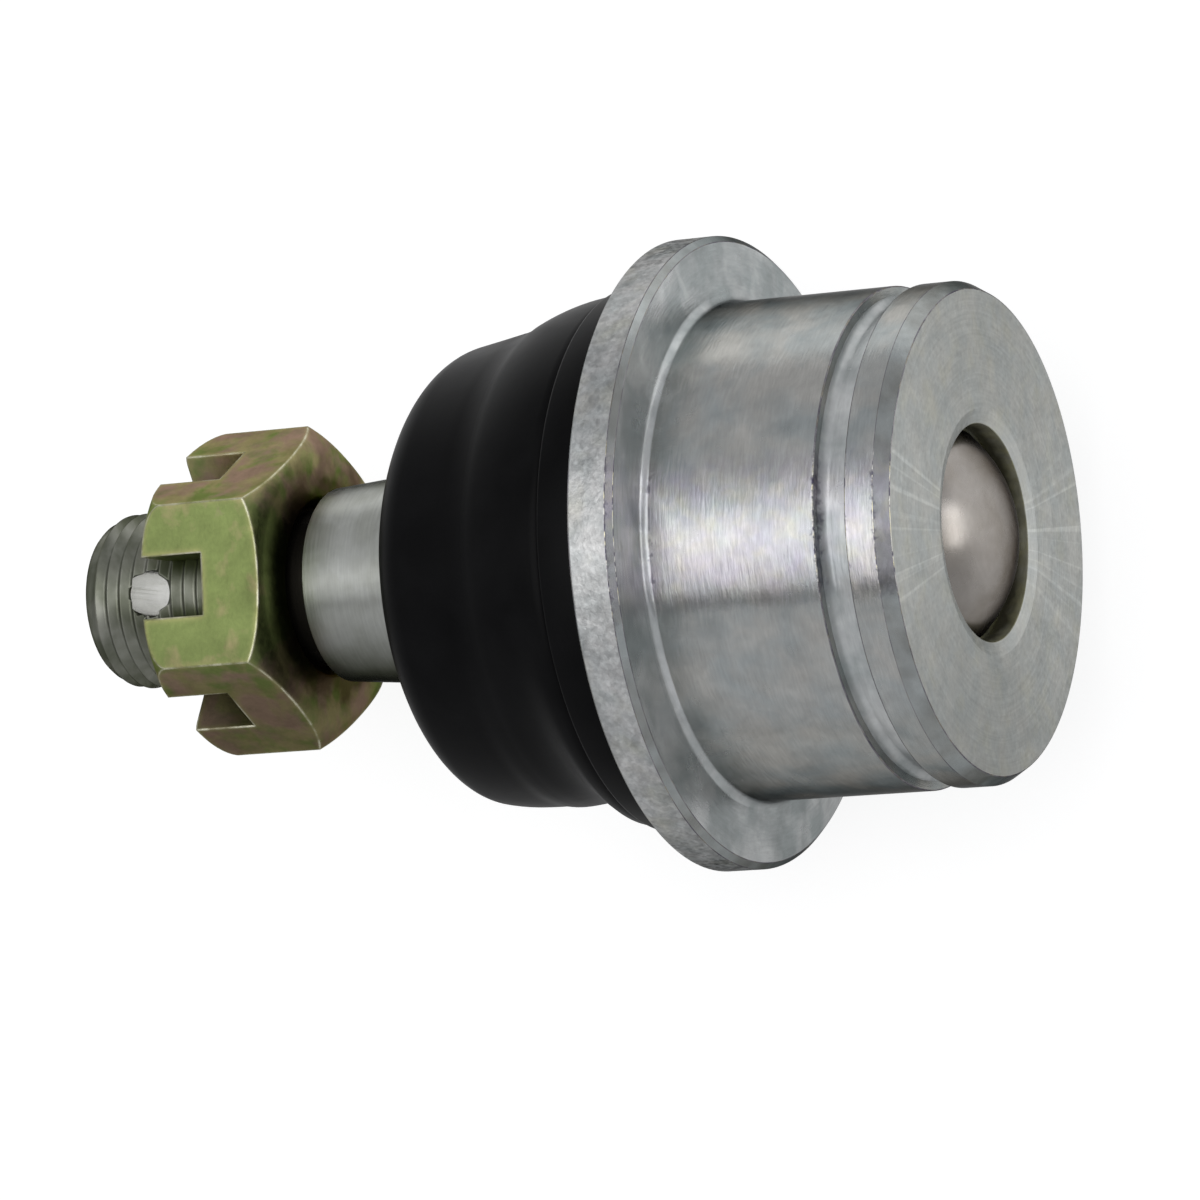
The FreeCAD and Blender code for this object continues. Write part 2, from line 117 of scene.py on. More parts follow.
class HousingSizes(bpy.types.PropertyGroup):
    end_face: station("End face", "Where the end face stands on the axis", HOUSING_HIGH.x)
    collar_end: station("Collar end", "Where the boot collar ends", HOUSING_LOW.x)
    flange_radius: station("Flange radius", "Outside radius of the flange", HOUSING_HIGH.z)
    journal_radius: length("Journal radius", "Radius of the press-in journal", 26.0)
    journal_length: length("Journal length", "From the end face to the flange", 26.9)
    land_radius: length("Nose land radius", "Radius between end face and ring groove", 25.9)
    nose_length: length("Nose chamfer length", "Length of the chamfer at the end face", 1.5)
    nose_depth: length("Nose chamfer depth", "Depth of the chamfer at the end face", 0.9)
    groove_start: length("Groove start", "From the end face to the ring groove", 4.6)
    groove_width: length("Groove width", "Width of the ring groove", 3.3)
    groove_depth: length("Groove depth", "Depth of the ring groove below the journal", 2.0)
    groove_fillet: length("Groove fillet", "Radius in the groove on its nose side", 0.7)
    groove_sweep: length("Groove sweep", "Larger radius in the groove on its flange side", 1.6)
    shoulder: length("Shoulder fillet", "Radius between journal and flange", 0.9)
    flange_thickness: length("Flange thickness", "Thickness of the flange", 4.9)
    flange_chamfer: length("Flange chamfer", "Chamfer on the front of the flange rim", 0.65)
    back_chamfer: length("Flange back chamfer", "Chamfer on the back of the flange rim", 0.25)
    collar_radius: length("Collar radius", "Outside radius of the boot collar", 23.95)
    mouth_radius: length("Mouth radius", "Inside radius of the boot collar", 20.55)
    opening_radius: length("Opening radius", "Radius of the hole in the end face", 11.2)
    opening_chamfer: length("Opening chamfer", "Width of the countersink round the hole", 1.5)
    opening_depth: length("Opening chamfer depth", "Depth of that countersink", 0.45)
    end_wall: length("End wall", "Thickness of the wall round the hole", 2.8)
    bore_radius: length("Socket radius", "Radius of the bore that holds the bearings", 18.05)
    bore_length: length("Socket length", "Length of that bore", 19.9)
    ring_seat: length("Ring seat", "Length of the seat of the closing ring", 2.4)
    lip_radius: length("Lip radius", "Inside radius of the lip rolled over the ring", 18.3)
    lip_length: length("Lip length", "Length of that lip", 1.1)
    edge: length("Edge break", "Radius left on each turned edge", 0.14)


class StudSizes(bpy.types.PropertyGroup):
    ball_radius: station("Ball radius", "Radius of the ball", STUD_HIGH.x)
    tip: station("Tip", "Where the threaded end stops", STUD_LOW.x)
    neck_radius: length("Neck radius", "Radius of the neck below the ball", 8.2)
    neck_fillet: length("Neck fillet", "Radius where the neck meets ball and flare", 2.5)
    taper_start: length("Taper start", "From the ball's centre to the taper's large end", 34.8)
    flare: length("Flare length", "Length of the cone from neck to taper", 3.6)
    taper_length: length("Taper length", "Length of the taper", 27.5)
    taper_large: length("Taper large radius", "Radius at the taper's large end", 12.69)
    taper_small: length("Taper small radius", "Radius at the taper's small end", 10.4)
    taper_chamfer: length("Taper chamfer", "Length of the chamfer after the taper", 0.8)
    relief_radius: length("Thread relief radius", "Radius between taper and thread", 8.2)
    root_radius: length("Thread root radius", "Radius at the root of the thread", 8.7)
    crest_radius: length("Thread crest radius", "Radius at the crest of the thread", 9.5)
    pitch: length("Thread pitch", "Sixteen turns to the inch", 1.5875)
    tip_radius: length("Tip radius", "Radius of the flat end of the stud", 8.2)
    tip_round: length("Tip rounding", "Length over which the end is rounded", 2.8)
    pin_hole_radius: length("Cross hole radius", "Radius of the cotter pin hole", 2.4)
    pin_hole_from_tip: length("Cross hole from tip", "From the tip to the hole's axis", 8.3)


class NutSizes(bpy.types.PropertyGroup):
    seat: station("Seat", "Where the nut's seat stands on the axis", NUT_HIGH.x)
    crown: station("Crown", "Where the slotted end stands on the axis", NUT_LOW.x)
    half_flats: station("Half across flats", "From the axis to a flat", NUT_HIGH.z)
    bore_radius: length("Bore radius", "Radius of the bore", 8.75)
    bore_chamfer: length("Bore chamfer", "Countersink at both ends of the bore", 0.9)
    seat_circle: length("Seat circle", "Radius of the seat inside its chamfer", 14.2)
    seat_rise: length("Seat chamfer rise", "Rise of the seat chamfer at the corners", 1.87)
    seat_bend: length("Seat chamfer bend", "Radius of the rounded seat chamfer", 6.5)
    crown_radius: length("Crown radius", "Radius where the crown's rounding starts", 14.5)
    crown_drop: length("Crown drop", "Length of the crown's rounding", 2.9)
    slot_width: length("Slot width", "Width of a cotter slot", 6.6)
    slot_depth: length("Slot depth", "Depth of a cotter slot", 7.4)
    slots: IntProperty(name="Slots", description="Number of cotter slots", default=6, min=2)


class BootSizes(bpy.types.PropertyGroup):
    bead_near: station("Bead start", "Where the bead begins behind the flange", BOOT_HIGH.x)
    lip_end: station("Lip end", "Where the neck lip ends on the taper", BOOT_LOW.x)
    bead_radius: station("Bead radius", "Outside radius of the bead", BOOT_HIGH.z)
    bead_height: length("Bead height", "Length of the bead", 5.3)
    crease: length("Crease depth", "Depth of the moulded line at the bead's edge", 0.7)
    skirt_share: length("Skirt share", "Length from the bead that bends with the first hinge", 9.8)
    skirt_rise: length("Skirt rise", "From the bead to the end of the convex skirt", 9.0)
    skirt_radius: length("Skirt radius", "Radius at the end of the skirt", 26.2)
    skirt_bend: length("Skirt bend", "Bend of the convex skirt", 26.0)
    waist_rise: length("Waist rise", "From the skirt to the drum", 4.1)
    waist_radius: length("Waist radius", "Radius where the drum starts", 24.95)
    waist_bend: length("Waist bend", "Bend of the concave waist", 12.0)
    shoulder_rise: length("Drum rise", "Length of the drum", 5.5)
    shoulder_radius: length("Shoulder radius", "Radius where the shoulder starts", 24.0)
    shoulder_bend: length("Shoulder bend", "Bend of the rounded shoulder", 4.6)
    crown_rise: length("Crown rise", "From the drum to the crown", 3.7)
    crown_radius: length("Crown radius", "Radius where the crown starts", 19.9)
    lip_foot_rise: length("Lip foot rise", "From the crown to the foot of the neck lip", 1.3)
    lip_foot_radius: length("Lip foot radius", "Radius at the foot of the neck lip", 14.4)
    wall: length("Wall", "Thickness of the rubber", 2.3)
    lip_wall: length("Lip wall", "Thickness of the neck lip", 1.1)
    lean: length("Lean", "How far the drum leans towards the flange on its +Y side", 1.3)
    drawn_in: length("Drawn in", "How far the skirt is drawn in on its -Y side", 2.4)
    swell: length("Swell", "How far the drum swells on its -Y side", 0.7)


class FinishColours(bpy.types.PropertyGroup):
    zinc: colour("Clear zinc", "Body tone of the clear zinc plate", "#d2d1cc")
    rim: colour("Rim zinc", "Coarse clear plate on the flange rim", "#dededd")
    # Painted light: a lightened copy of the clear zinc for the groove and the flange face
    lightened_zinc: colour("Lightened zinc", "Clear plate lightened as painted light in the groove and on the flange face", "#e6e8e8")
    # Painted shade: a darkened copy of the clear zinc for the chamfers
    chamfer: colour("Chamfer zinc", "Clear plate painted darker as shade on the nose and flange chamfers", "#a9aba8")
    zinc_blue: colour("Blue zinc", "Bluish tone of the clear zinc plate", "#bec4c4")
    zinc_lilac: colour("Lilac bloom", "Faint interference tone of the plate", "#cbbcd6")
    zinc_straw: colour("Straw bloom", "Faint warm interference tone of the plate", "#dcd6b4")
    faced: colour("Faced zinc", "Duller plate on the faced end", "#cecfcb")
    notch: colour("Dark notches", "Tone of the notches along broken edges", "#5e5a6c")
    opening: colour("Opening wall", "Olive plate inside the opening", "#a3a283")
    # Painted shade, laid in the opening and on the nut's seat and -Y side
    recess_shade: colour("Recess shade", "Painted shade in the opening and on the seat of the nut", "#2f2d1c")
    ball: colour("Ball steel", "Hardened steel of the ball", "#aea9a4")
    ball_haze: colour("Ball haze", "Warm grease film on the ball", "#9f9992")
    shank: colour("Shank steel", "Ground bare steel of the taper", "#d3d5d0")
    shank_haze: colour("Taper haze", "Thin oxide on the ground taper", "#bcbeb6")
    # Painted shade: the -Y side of the taper is painted darker
    side_shade: colour("Taper side shade", "Painted shade on the -Y side of the taper", "#6a6c63")
    steel_haze: colour("Steel haze", "Thin oxide on the bare steel", "#a5a69c")
    # Painted shade: the steel in the recess between taper and nut is painted dark
    relief: colour("Thread relief", "Painted shade on the steel between taper and nut", "#3b3832")
    thread: colour("Thread steel", "Rolled bare steel of the thread", "#777a6c")
    bore: colour("Drilled bore", "Bright wall of the cross hole", "#f0f0ee")
    chromate_green: colour("Chromate green", "Green tone of yellow chromate", "#8f9d61")
    chromate_gold: colour("Chromate gold", "Gold tone of yellow chromate", "#b0a67a")
    chromate_rose: colour("Chromate rose", "Rose tone of yellow chromate", "#b4938a")
    # Painted glow beside the edges of the nut
    chromate_glow: colour("Chromate glow beside edges", "Painted yellow glow beside the edges", "#c2bd82")
    # Pale wear at the edges, painted also as their highlight
    chromate_highlight: colour("Chromate highlight", "Pale tone at edges, where the chromate wears and a highlight is painted", "#f8f5da")
    rubber: colour("Rubber", "Black moulded rubber", "#080809")
    rubber_bloom: colour("Rubber bloom", "Greyish haze on the rubber", "#101011")
    floor: colour("Floor", "Pale studio floor", "#adadad")
    floor_fleck: colour("Floor fleck", "Faint mottle of the paper", "#ababab")
    wall: colour("Studio walls", "Cool white of the walls round the object", "#fbfcff")


class StageSettings(bpy.types.PropertyGroup):
    azimuth: FloatProperty(name="Azimuth", description="Camera direction round the vertical",
                           default=math.radians(80.12), subtype="ANGLE")
    elevation: FloatProperty(name="Elevation", description="Camera height above the horizon",
                             default=math.radians(63.44), subtype="ANGLE")
    roll: FloatProperty(name="Roll", description="Turn of the camera about its view",
                        default=math.radians(83.51), subtype="ANGLE")
    distance: length("Distance", "From the aim point to the camera", 678.1)
    aim_x: length("Aim X", "Point that the camera looks at, along the joint", -23.88)
    aim_y: length("Aim Y", "Point that the camera looks at, across the joint", -5.25)
    aim_z: length("Aim Z", "Point that the camera looks at, above the axis", 17.32)
    lens: FloatProperty(name="Lens", description="Focal length in millimetres", default=199.2)
    key_power: FloatProperty(name="Key power", description="Power of the overhead softbox",
                             default=1.6, unit="POWER")
    end_power: FloatProperty(name="End power", description="Power of the small softbox at the end face",
                             default=0.30, unit="POWER")
    sky: FloatProperty(name="Studio glow", description="Brightness of the studio walls", default=0.46)


def eased(corners, ease, closed=False):
    """An outline with an arc at each corner. A corner is (x, radius) or (x, radius, its own ease)."""
    result = []
    count = len(corners)
    for index, corner in enumerate(corners):
        here = Vector(corner[:2])
        to_last = Vector(corners[index - 1][:2]) - here
        to_next = Vector(corners[(index + 1) % count][:2]) - here
        if not closed and index in (0, count - 1):
            result.append(tuple(here))
            continue
        half = to_last.angle(to_next) / 2
        wanted = corner[2] if len(corner) > 2 else ease
        reach = min(wanted / math.tan(half), to_last.length * 0.48, to_next.length * 0.48)
        # A corner that is all but straight, or has next to no sides, stays as it is
        if half > 1.55 or reach < 1e-6:
            result.append(tuple(here))
            continue
        radius = reach * math.tan(half)
        inward = (to_last.normalized() + to_next.normalized()).normalized()
        centre = here + inward * (radius / math.sin(half))
        first = here + to_last.normalized() * reach - centre
        last = here + to_next.normalized() * reach - centre
        steps = EDGE_STEPS + round(radius / (0.4 * MM))
        for step in range(steps + 1):
            spoke = first.lerp(last, step / steps).normalized() * radius
            result.append(tuple(centre + spoke))
    return result


def bow(start, end, bend, steps):
    """An arc from start to end. A positive bend has its centre to the left of the way along it."""
    first, last = Vector(start), Vector(end)
    chord = last - first
    left = Vector((-chord.y, chord.x)).normalized()
    rise = math.copysign(math.sqrt(bend ** 2 - chord.length_squared / 4), bend)
    centre = (first + last) / 2 + left * rise
    spokes = [(first - centre).lerp(last - centre, step / steps) for step in range(steps + 1)]
    return [tuple(centre + spoke.normalized() * abs(bend)) for spoke in spokes]


def new_piece(name, vertices, faces, smooth=True, merge=1e-7, close=False):
    """A mesh as an object of the scene. Points nearer than merge become one. Closing it also drops
    what has no area and fills the open ends."""
    mesh = bpy.data.meshes.new(name)
    mesh.from_pydata(vertices, [], faces)
    bm = bmesh.new()
    bm.from_mesh(mesh)
    bmesh.ops.remove_doubles(bm, verts=bm.verts, dist=merge)
    if close:
        bmesh.ops.dissolve_degenerate(bm, edges=bm.edges, dist=1e-6)
        loose = [v for v in bm.verts if not v.link_faces]
        bmesh.ops.delete(bm, geom=loose, context="VERTS")
        bmesh.ops.holes_fill(bm, edges=bm.edges, sides=0)
    bmesh.ops.recalc_face_normals(bm, faces=bm.faces)
    bm.to_mesh(mesh)
    bm.free()
    if smooth:
        mesh.shade_smooth()
    piece = bpy.data.objects.new(name, mesh)
    bpy.context.scene.collection.objects.link(piece)
    return piece


def lathe(name, outline, closed=False, steps=ROUND_STEPS):
    """Turns an outline of (x, radius) about the X axis. An end at radius 0 becomes a single point."""
    vertices = []
    rings = []
    for x, radius in outline:
        if radius < 1e-6:
            rings.append([len(vertices)] * steps)
            vertices.append((x, 0, 0))
            continue
        rings.append(list(range(len(vertices), len(vertices) + steps)))
        for step in range(steps):
            angle = 2 * math.pi * step / steps
            vertices.append((x, radius * math.cos(angle), radius * math.sin(angle)))
    faces = []
    pairs = list(zip(rings, rings[1:]))
    if closed:
        pairs.append((rings[-1], rings[0]))
    for low, high in pairs:
        for step in range(steps):
            following = (step + 1) % steps
            corners = [low[step], low[following], high[following], high[step]]
            faces.append(list(dict.fromkeys(corners)))
    return new_piece(name, vertices, faces)


def keep_flats_flat(piece):
    """Weights the normals by face size, so that an eased edge doesn't shade the flat beside it."""
    weights = piece.modifiers.new("FaceWeights", "WEIGHTED_NORMAL")
    weights.mode = "FACE_AREA"
    weights.weight = 80


def combine(piece, tool, operation):
    """Cuts the piece by the tool, or keeps what they share. The tool is used up."""
    step = piece.modifiers.new("Combine", "BOOLEAN")
    step.operation = operation
    step.solver = "EXACT"
    step.object = tool
    before = len(piece.data.polygons)
    graph = bpy.context.evaluated_depsgraph_get()
    result = bpy.data.meshes.new_from_object(piece.evaluated_get(graph))
    piece.modifiers.remove(step)
    if len(result.polygons) in (0, before):
        raise RuntimeError("%s kept its shape" % piece.name)
    old = piece.data
    piece.data = result
    bpy.data.meshes.remove(old)
    bpy.data.objects.remove(tool)


def dress(mesh, *materials):
    """Gives a mesh its materials, in place of any that it had."""
    mesh.materials.clear()
    for material in materials:
        mesh.materials.append(material)


def give_faces(piece, index, test):
    """Gives a material slot to the faces whose middle passes the test of (x, radius)."""
    for face in piece.data.polygons:
        middle = face.center
        if test(middle.x, math.hypot(middle.y, middle.z)):
            face.material_index = index


def near_corners(corners, reach):
    """A test that passes within reach of one of the corners."""
    return lambda x, r: any(math.hypot(x - corner[0], r - corner[1]) < reach for corner in corners)


def add(tree, kind, inputs=None, **settings):
    """Adds a shader node. The settings are its own. An input gets a value, or a link from a node or
    a socket."""
    node = tree.nodes.new("ShaderNode" + kind)
    for name, value in settings.items():
        setattr(node, name, value)
    for name, value in (inputs or {}).items():
        if isinstance(value, bpy.types.Node):
            value = value.outputs[0]
        if isinstance(value, bpy.types.NodeSocket):
            tree.links.new(value, node.inputs[name])
        else:
            node.inputs[name].default_value = value
    return node


def rgba(values):
    return (values[0], values[1], values[2], 1)


class Surface:
    """A finish in the making: its material and node tree, and of each point of the piece its own
    place, its place along the axis, its radius and its angle round the axis."""

    def __init__(self, name):
        self.material = bpy.data.materials.new(name)
        self.material.use_nodes = True
        self.tree = self.material.node_tree
        self.tree.nodes.clear()
        self.point = self.add("TexCoord").outputs["Object"]
        self.x, self.y, z = self.add("SeparateXYZ", {"Vector": self.point}).outputs
        across = self.add("CombineXYZ", {"Y": self.y, "Z": z})
        self.radius = self.add("VectorMath", {0: across}, operation="LENGTH").outputs["Value"]
        self.angle = self.add("Math", {0: z, 1: self.y}, operation="ARCTAN2")
        self.sine = self.add("Math", {0: self.angle}, operation="SINE")
        self.cosine = self.add("Math", {0: self.angle}, operation="COSINE")

    def add(self, kind, inputs=None, **settings):
        return add(self.tree, kind, inputs, **settings)

    def patches(self, size, low, high, start=0.3, end=0.7, detail=4.0, turn=0.0):
        """Soft patches about one size across, in millimetres, from low to high as the noise in them
        goes from start to end. Another turn gives other patches."""
        noise = self.add("TexNoise", {
            "Vector": self.point, "W": turn, "Scale": 1 / (size * MM), "Detail": detail,
            "Distortion": 0.4}, noise_dimensions="4D")
        return self.add("MapRange", {
            "Value": noise, "From Min": start, "From Max": end, "To Min": low, "To Max": high})

    def tool_lines(self, pitch, stretch, low, high):
        """Lines round the axis on a cylinder, or rings on a face, from low to high. The pitch is in
        millimetres, and a higher stretch makes shorter lines."""
        along = self.add("Math", {0: self.x, 1: self.radius}, operation="ADD")
        vector = {"X": self.add("Math", {0: along, 1: 1 / (pitch * MM)}, operation="MULTIPLY")}
        for axis, turn in (("Y", self.sine), ("Z", self.cosine)):
            vector[axis] = self.add("Math", {0: turn, 1: stretch}, operation="MULTIPLY")
        noise = self.add("TexNoise", {
            "Vector": self.add("CombineXYZ", vector), "Scale": 1.0, "Detail": 2.0, "Roughness": 0.6})
        return self.add("MapRange", {
            "Value": noise, "From Min": 0.3, "From Max": 0.7, "To Min": low, "To Max": high})

    def highlight_strip(self):
        """A strip along the axis on the +Z side, about 15 degrees to each side of it, where the overhead
        highlight falls.
        """
        return self.add("MapRange", {"Value": self.sine, "From Min": 0.95, "From Max": 0.985})

    def cut_round(self, anisotropy, edge_tint, metallic=1.0):
        """What a metal cut round the axis adds to its shader. Its gloss spreads across the tool
        lines, and with a tint under 1 it darkens where it is seen along its surface."""
        return {"Metallic": metallic, "Anisotropic": anisotropy, "Anisotropic Rotation": 0.25,
                "Specular Tint": (edge_tint, edge_tint, edge_tint, 1),
                "Tangent": self.add("Tangent", direction_type="RADIAL", axis="X")}

    def finish(self, body, layers, shades, bumps, roughness, sockets):
        """Builds the finish up to its output. A layer is a level and the colour laid over as far as
        it goes, a shade lightens or darkens, and a bump is a height, a strength and a real depth in
        millimetres."""
        tone = rgba(body)
        for level, tint in layers:
            tone = self.add("Mix", {0: level, 6: tone, 7: rgba(tint)}, data_type="RGBA").outputs[2]
        for shade in shades:
            tone = self.add("VectorMath", {0: tone, "Scale": shade}, operation="SCALE")
        inputs = {**sockets, "Base Color": tone, "Roughness": roughness}
        for height, strength, depth in bumps:
            under = {"Normal": inputs["Normal"]} if "Normal" in inputs else {}
            inputs["Normal"] = self.add("Bump", {
                **under, "Height": height, "Strength": strength, "Distance": depth * MM})
        shader = self.add("BsdfPrincipled", inputs)
        self.add("OutputMaterial", {"Surface": shader})
        return self.material


def turned_zinc(name, colours, body, edges, bloom, metallic=1.0):
    """Clear zinc plate over turned steel. The tool left fine lines, drawn 0.36 mm apart to show, and
    the plate adds soft blue-grey patches and a few small pits. Only on the +Z side, where the
    overhead highlight falls, lilac and straw bloom is painted as the tint of that highlight, the
    lines are deeper, and small dark notches break the plate beside the given edges."""
    plate = Surface(name)
    strip = plate.highlight_strip()
    depth = plate.add("MapRange", {"Value": strip, "To Min": 0.3, "To Max": 1.0})
    lines = plate.tool_lines(0.36, 10.0, -0.14, 0.09)
    lines = plate.add("Math", {0: lines, 1: depth, 2: 1.0}, operation="MULTIPLY_ADD")
    away = 1.0
    for edge in edges:
        step = plate.add("Math", {0: plate.x, 1: edge}, operation="SUBTRACT")
        step = plate.add("Math", {0: step}, operation="ABSOLUTE")
        away = plate.add("Math", {0: step, 1: away}, operation="MINIMUM")
    ragged = plate.patches(0.8, 0.45 * MM, -0.3 * MM, detail=6.0, turn=6.0)
    beside = plate.add("Math", {0: away, 1: ragged}, operation="SUBTRACT")
    notch = plate.add("MapRange", {
        "Value": beside, "From Min": 0.1 * MM, "From Max": -0.25 * MM, "To Max": 0.65})
    # Painted highlight tint: the bloom and the notches lie only on the highlit strip
    lilac, straw, notch = (plate.add("Math", {0: level, 1: strip}, operation="MULTIPLY") for level in (
        plate.patches(3, 0, bloom, 0.30, 0.66, turn=8.0),
        plate.patches(2, 0, bloom, 0.46, 0.80, turn=9.0),
        notch))
    return plate.finish(
        body,
        layers=[
            (plate.patches(6, 0, 1, 0.38, 0.62), colours.zinc_blue),
            (lilac, colours.zinc_lilac),
            (straw, colours.zinc_straw),
            (notch, colours.notch),
        ],
        shades=[
            lines,
            plate.tool_lines(0.22, 16.0, 0.95, 1.05),
            plate.patches(2.6, 0.86, 1.09, detail=8.0, turn=1.0),
            plate.patches(1.1, 0.5, 1.0, 0.15, 0.18, detail=1.0, turn=2.0),
        ],
        bumps=[
            (plate.tool_lines(0.36, 10.0, 0, 1), 0.34, 0.02),
            (plate.tool_lines(0.22, 16.0, 0, 1), 0.34, 0.015),
            (plate.patches(1.6, 0, 1, turn=3.0), 0.12, 0.03),
            (notch, 0.25, 0.05),
        ],
        roughness=plate.patches(3.5, 0.28, 0.22, turn=1.0),
        sockets=plate.cut_round(0.88, 0.10, metallic))


def faced_zinc(colours):
    """Clear zinc plate over steel faced on a lathe. It shows rings 0.3 mm apart round the hole, and
    thin bright rays to both sides of it are a painted highlight of the cut."""
    plate = Surface("Clear zinc on faced steel")
    # The rays of painted highlight stand about six degrees apart, near Z, and each is about a degree wide
    turn = plate.add("Math", {0: plate.angle, 1: 19.0}, operation="MULTIPLY")
    noise = plate.add("TexNoise", {"W": turn, "Scale": 1.0, "Detail": 2.0}, noise_dimensions="1D")
    rays = plate.add("MapRange", {
        "Value": noise, "From Min": 0.56, "From Max": 0.70, "To Min": 0.0, "To Max": 0.18})
    side = plate.add("Math", {0: plate.sine}, operation="ABSOLUTE")
    sector = plate.add("MapRange", {"Value": side, "From Min": 0.88, "From Max": 0.96})
    rays = plate.add("Math", {0: rays, 1: sector, 2: 1.0}, operation="MULTIPLY_ADD")
    return plate.finish(
        colours.faced,
        layers=[
            (plate.patches(4, 0, 0.5, 0.38, 0.62), colours.zinc_blue),
            (plate.patches(3, 0, 0.15, 0.5, 0.7, turn=4.0), colours.zinc_straw),
        ],
        shades=[
            rays,
            plate.tool_lines(0.30, 2.0, 0.93, 1.04),
            plate.patches(0.5, 0.90, 1.07),
            plate.patches(3, 0.93, 1.05, detail=6.0, turn=1.0),
        ],
        bumps=[
            (plate.tool_lines(0.30, 2.0, 0, 1), 0.25, 0.015),
            (plate.patches(0.5, 0, 1), 0.2, 0.02),
        ],
        roughness=plate.patches(0.5, 0.40, 0.50),
        sockets=plate.cut_round(0.5, 0.05))


def spangled_zinc(colours):
    """Clear zinc plate over the coarser rim of the flange: blotchy grey with small bright grains."""
    plate = Surface("Clear zinc on coarse rim")
    cells = plate.add("TexVoronoi", {"Vector": plate.point, "Scale": 1 / (0.6 * MM)})
    grains = plate.add("SeparateColor", {"Color": cells.outputs["Color"]}).outputs["Red"]
    return plate.finish(
        colours.rim,
        layers=[
            (plate.patches(3, 0, 0.6, 0.38, 0.62), colours.zinc_blue),
            (plate.patches(4, 0, 0.2, 0.5, 0.7, turn=4.0), colours.zinc_straw),
        ],
        shades=[
            plate.add("MapRange", {"Value": grains, "To Min": 0.90, "To Max": 1.07}),
            plate.patches(1.6, 0.84, 1.06, 0.36, 0.56, detail=8.0, turn=1.0),
            plate.patches(5, 0.84, 1.08, turn=2.0),
            plate.patches(0.5, 0.80, 1.10),
        ],
        bumps=[
            (cells.outputs["Distance"], 0.35, 0.02),
            (plate.patches(0.5, 0, 1), 0.55, 0.03),
        ],
        roughness=plate.add("MapRange", {"Value": grains, "To Min": 0.34, "To Max": 0.48}),
        sockets=plate.cut_round(0.0, 0.05))


def nodular_edge(colours):
    """Zinc plate heaped on a broken edge: a thin grey line, which on the +Z side breaks up into
    bright nodules and small dark notches."""
    plate = Surface("Thick zinc on broken edges")
    notches = plate.patches(0.9, 1, 0, 0.42, 0.52, turn=6.0)
    calm = plate.patches(2, 0.45, 0.90, turn=7.0)
    dark = plate.add("Mix", {0: plate.highlight_strip(), 2: calm, 3: notches}, data_type="FLOAT")
    return plate.finish(
        colours.zinc,
        layers=[
            (plate.patches(1.1, 0, 0.8, 0.50, 0.60, turn=5.0), colours.zinc_straw),
            (dark, colours.notch),
        ],
        shades=[plate.patches(3, 0.9, 1.1)],
        bumps=[(plate.patches(0.9, 0, 1, turn=6.0), 0.6, 0.10)],
        roughness=0.26,
        sockets=plate.cut_round(0.0, 0.2))


def chalky_zinc(colours, start):
    """Zinc plate that has turned chalky inside the opening: olive, dull, with faint turned lines, and
    with painted shade that darkens it towards the floor of the opening beside the ball."""
    plate = Surface("Dulled zinc in the opening")
    # Painted shade darkens the wall towards the floor of the opening
    ragged = plate.patches(2.5, -0.6 * MM, 0.5 * MM, turn=5.0)
    depth = plate.add("Math", {0: plate.x, 1: ragged}, operation="ADD")
    deep = plate.add("MapRange", {
        "Value": depth, "From Min": start, "From Max": start - 1.6 * MM, "To Max": 0.9})
    return plate.finish(
        colours.opening,
        layers=[
            (plate.patches(2, 0, 1, 0.40, 0.68), colours.steel_haze),
            (deep, colours.recess_shade),
        ],
        shades=[
            plate.tool_lines(0.4, 3.0, 0.9, 1.05),
            plate.patches(1, 0.9, 1.05, turn=1.0),
        ],
        bumps=[(plate.tool_lines(0.4, 3.0, 0, 1), 0.3, 0.03)],
        roughness=plate.patches(0.5, 0.40, 0.50),
        sockets={"Metallic": 0.4})


def ground_steel(name, body, haze, pitch, gloss, contrast, anisotropy, edge_tint, side_shade=None):
    """Bare steel ground or rolled round the axis: fine lines with a pitch in millimetres, a satin
    sheen and a thin haze. A painted shade, if one is given, darkens the -Y side."""
    steel = Surface(name)
    layers = [(steel.patches(4, 0, 1, 0.40, 0.68), haze)]
    # Painted shade: the -Y side is darkened in the colour
    if side_shade:
        shaded_side = steel.add("MapRange", {
            "Value": steel.cosine, "From Min": -0.25, "From Max": -0.9, "To Max": 0.9})
        layers.append((shaded_side, side_shade))
    return steel.finish(
        body, layers,
        shades=[
            steel.tool_lines(pitch, 3.0, 1 - contrast, 1 + contrast / 2),
            steel.patches(2, 0.95, 1.04, turn=1.0),
        ],
        bumps=[(steel.tool_lines(pitch, 3.0, 0, 1), 0.2, 0.02)],
        roughness=steel.patches(3, gloss - 0.02, gloss + 0.03),
        sockets=steel.cut_round(anisotropy, edge_tint))


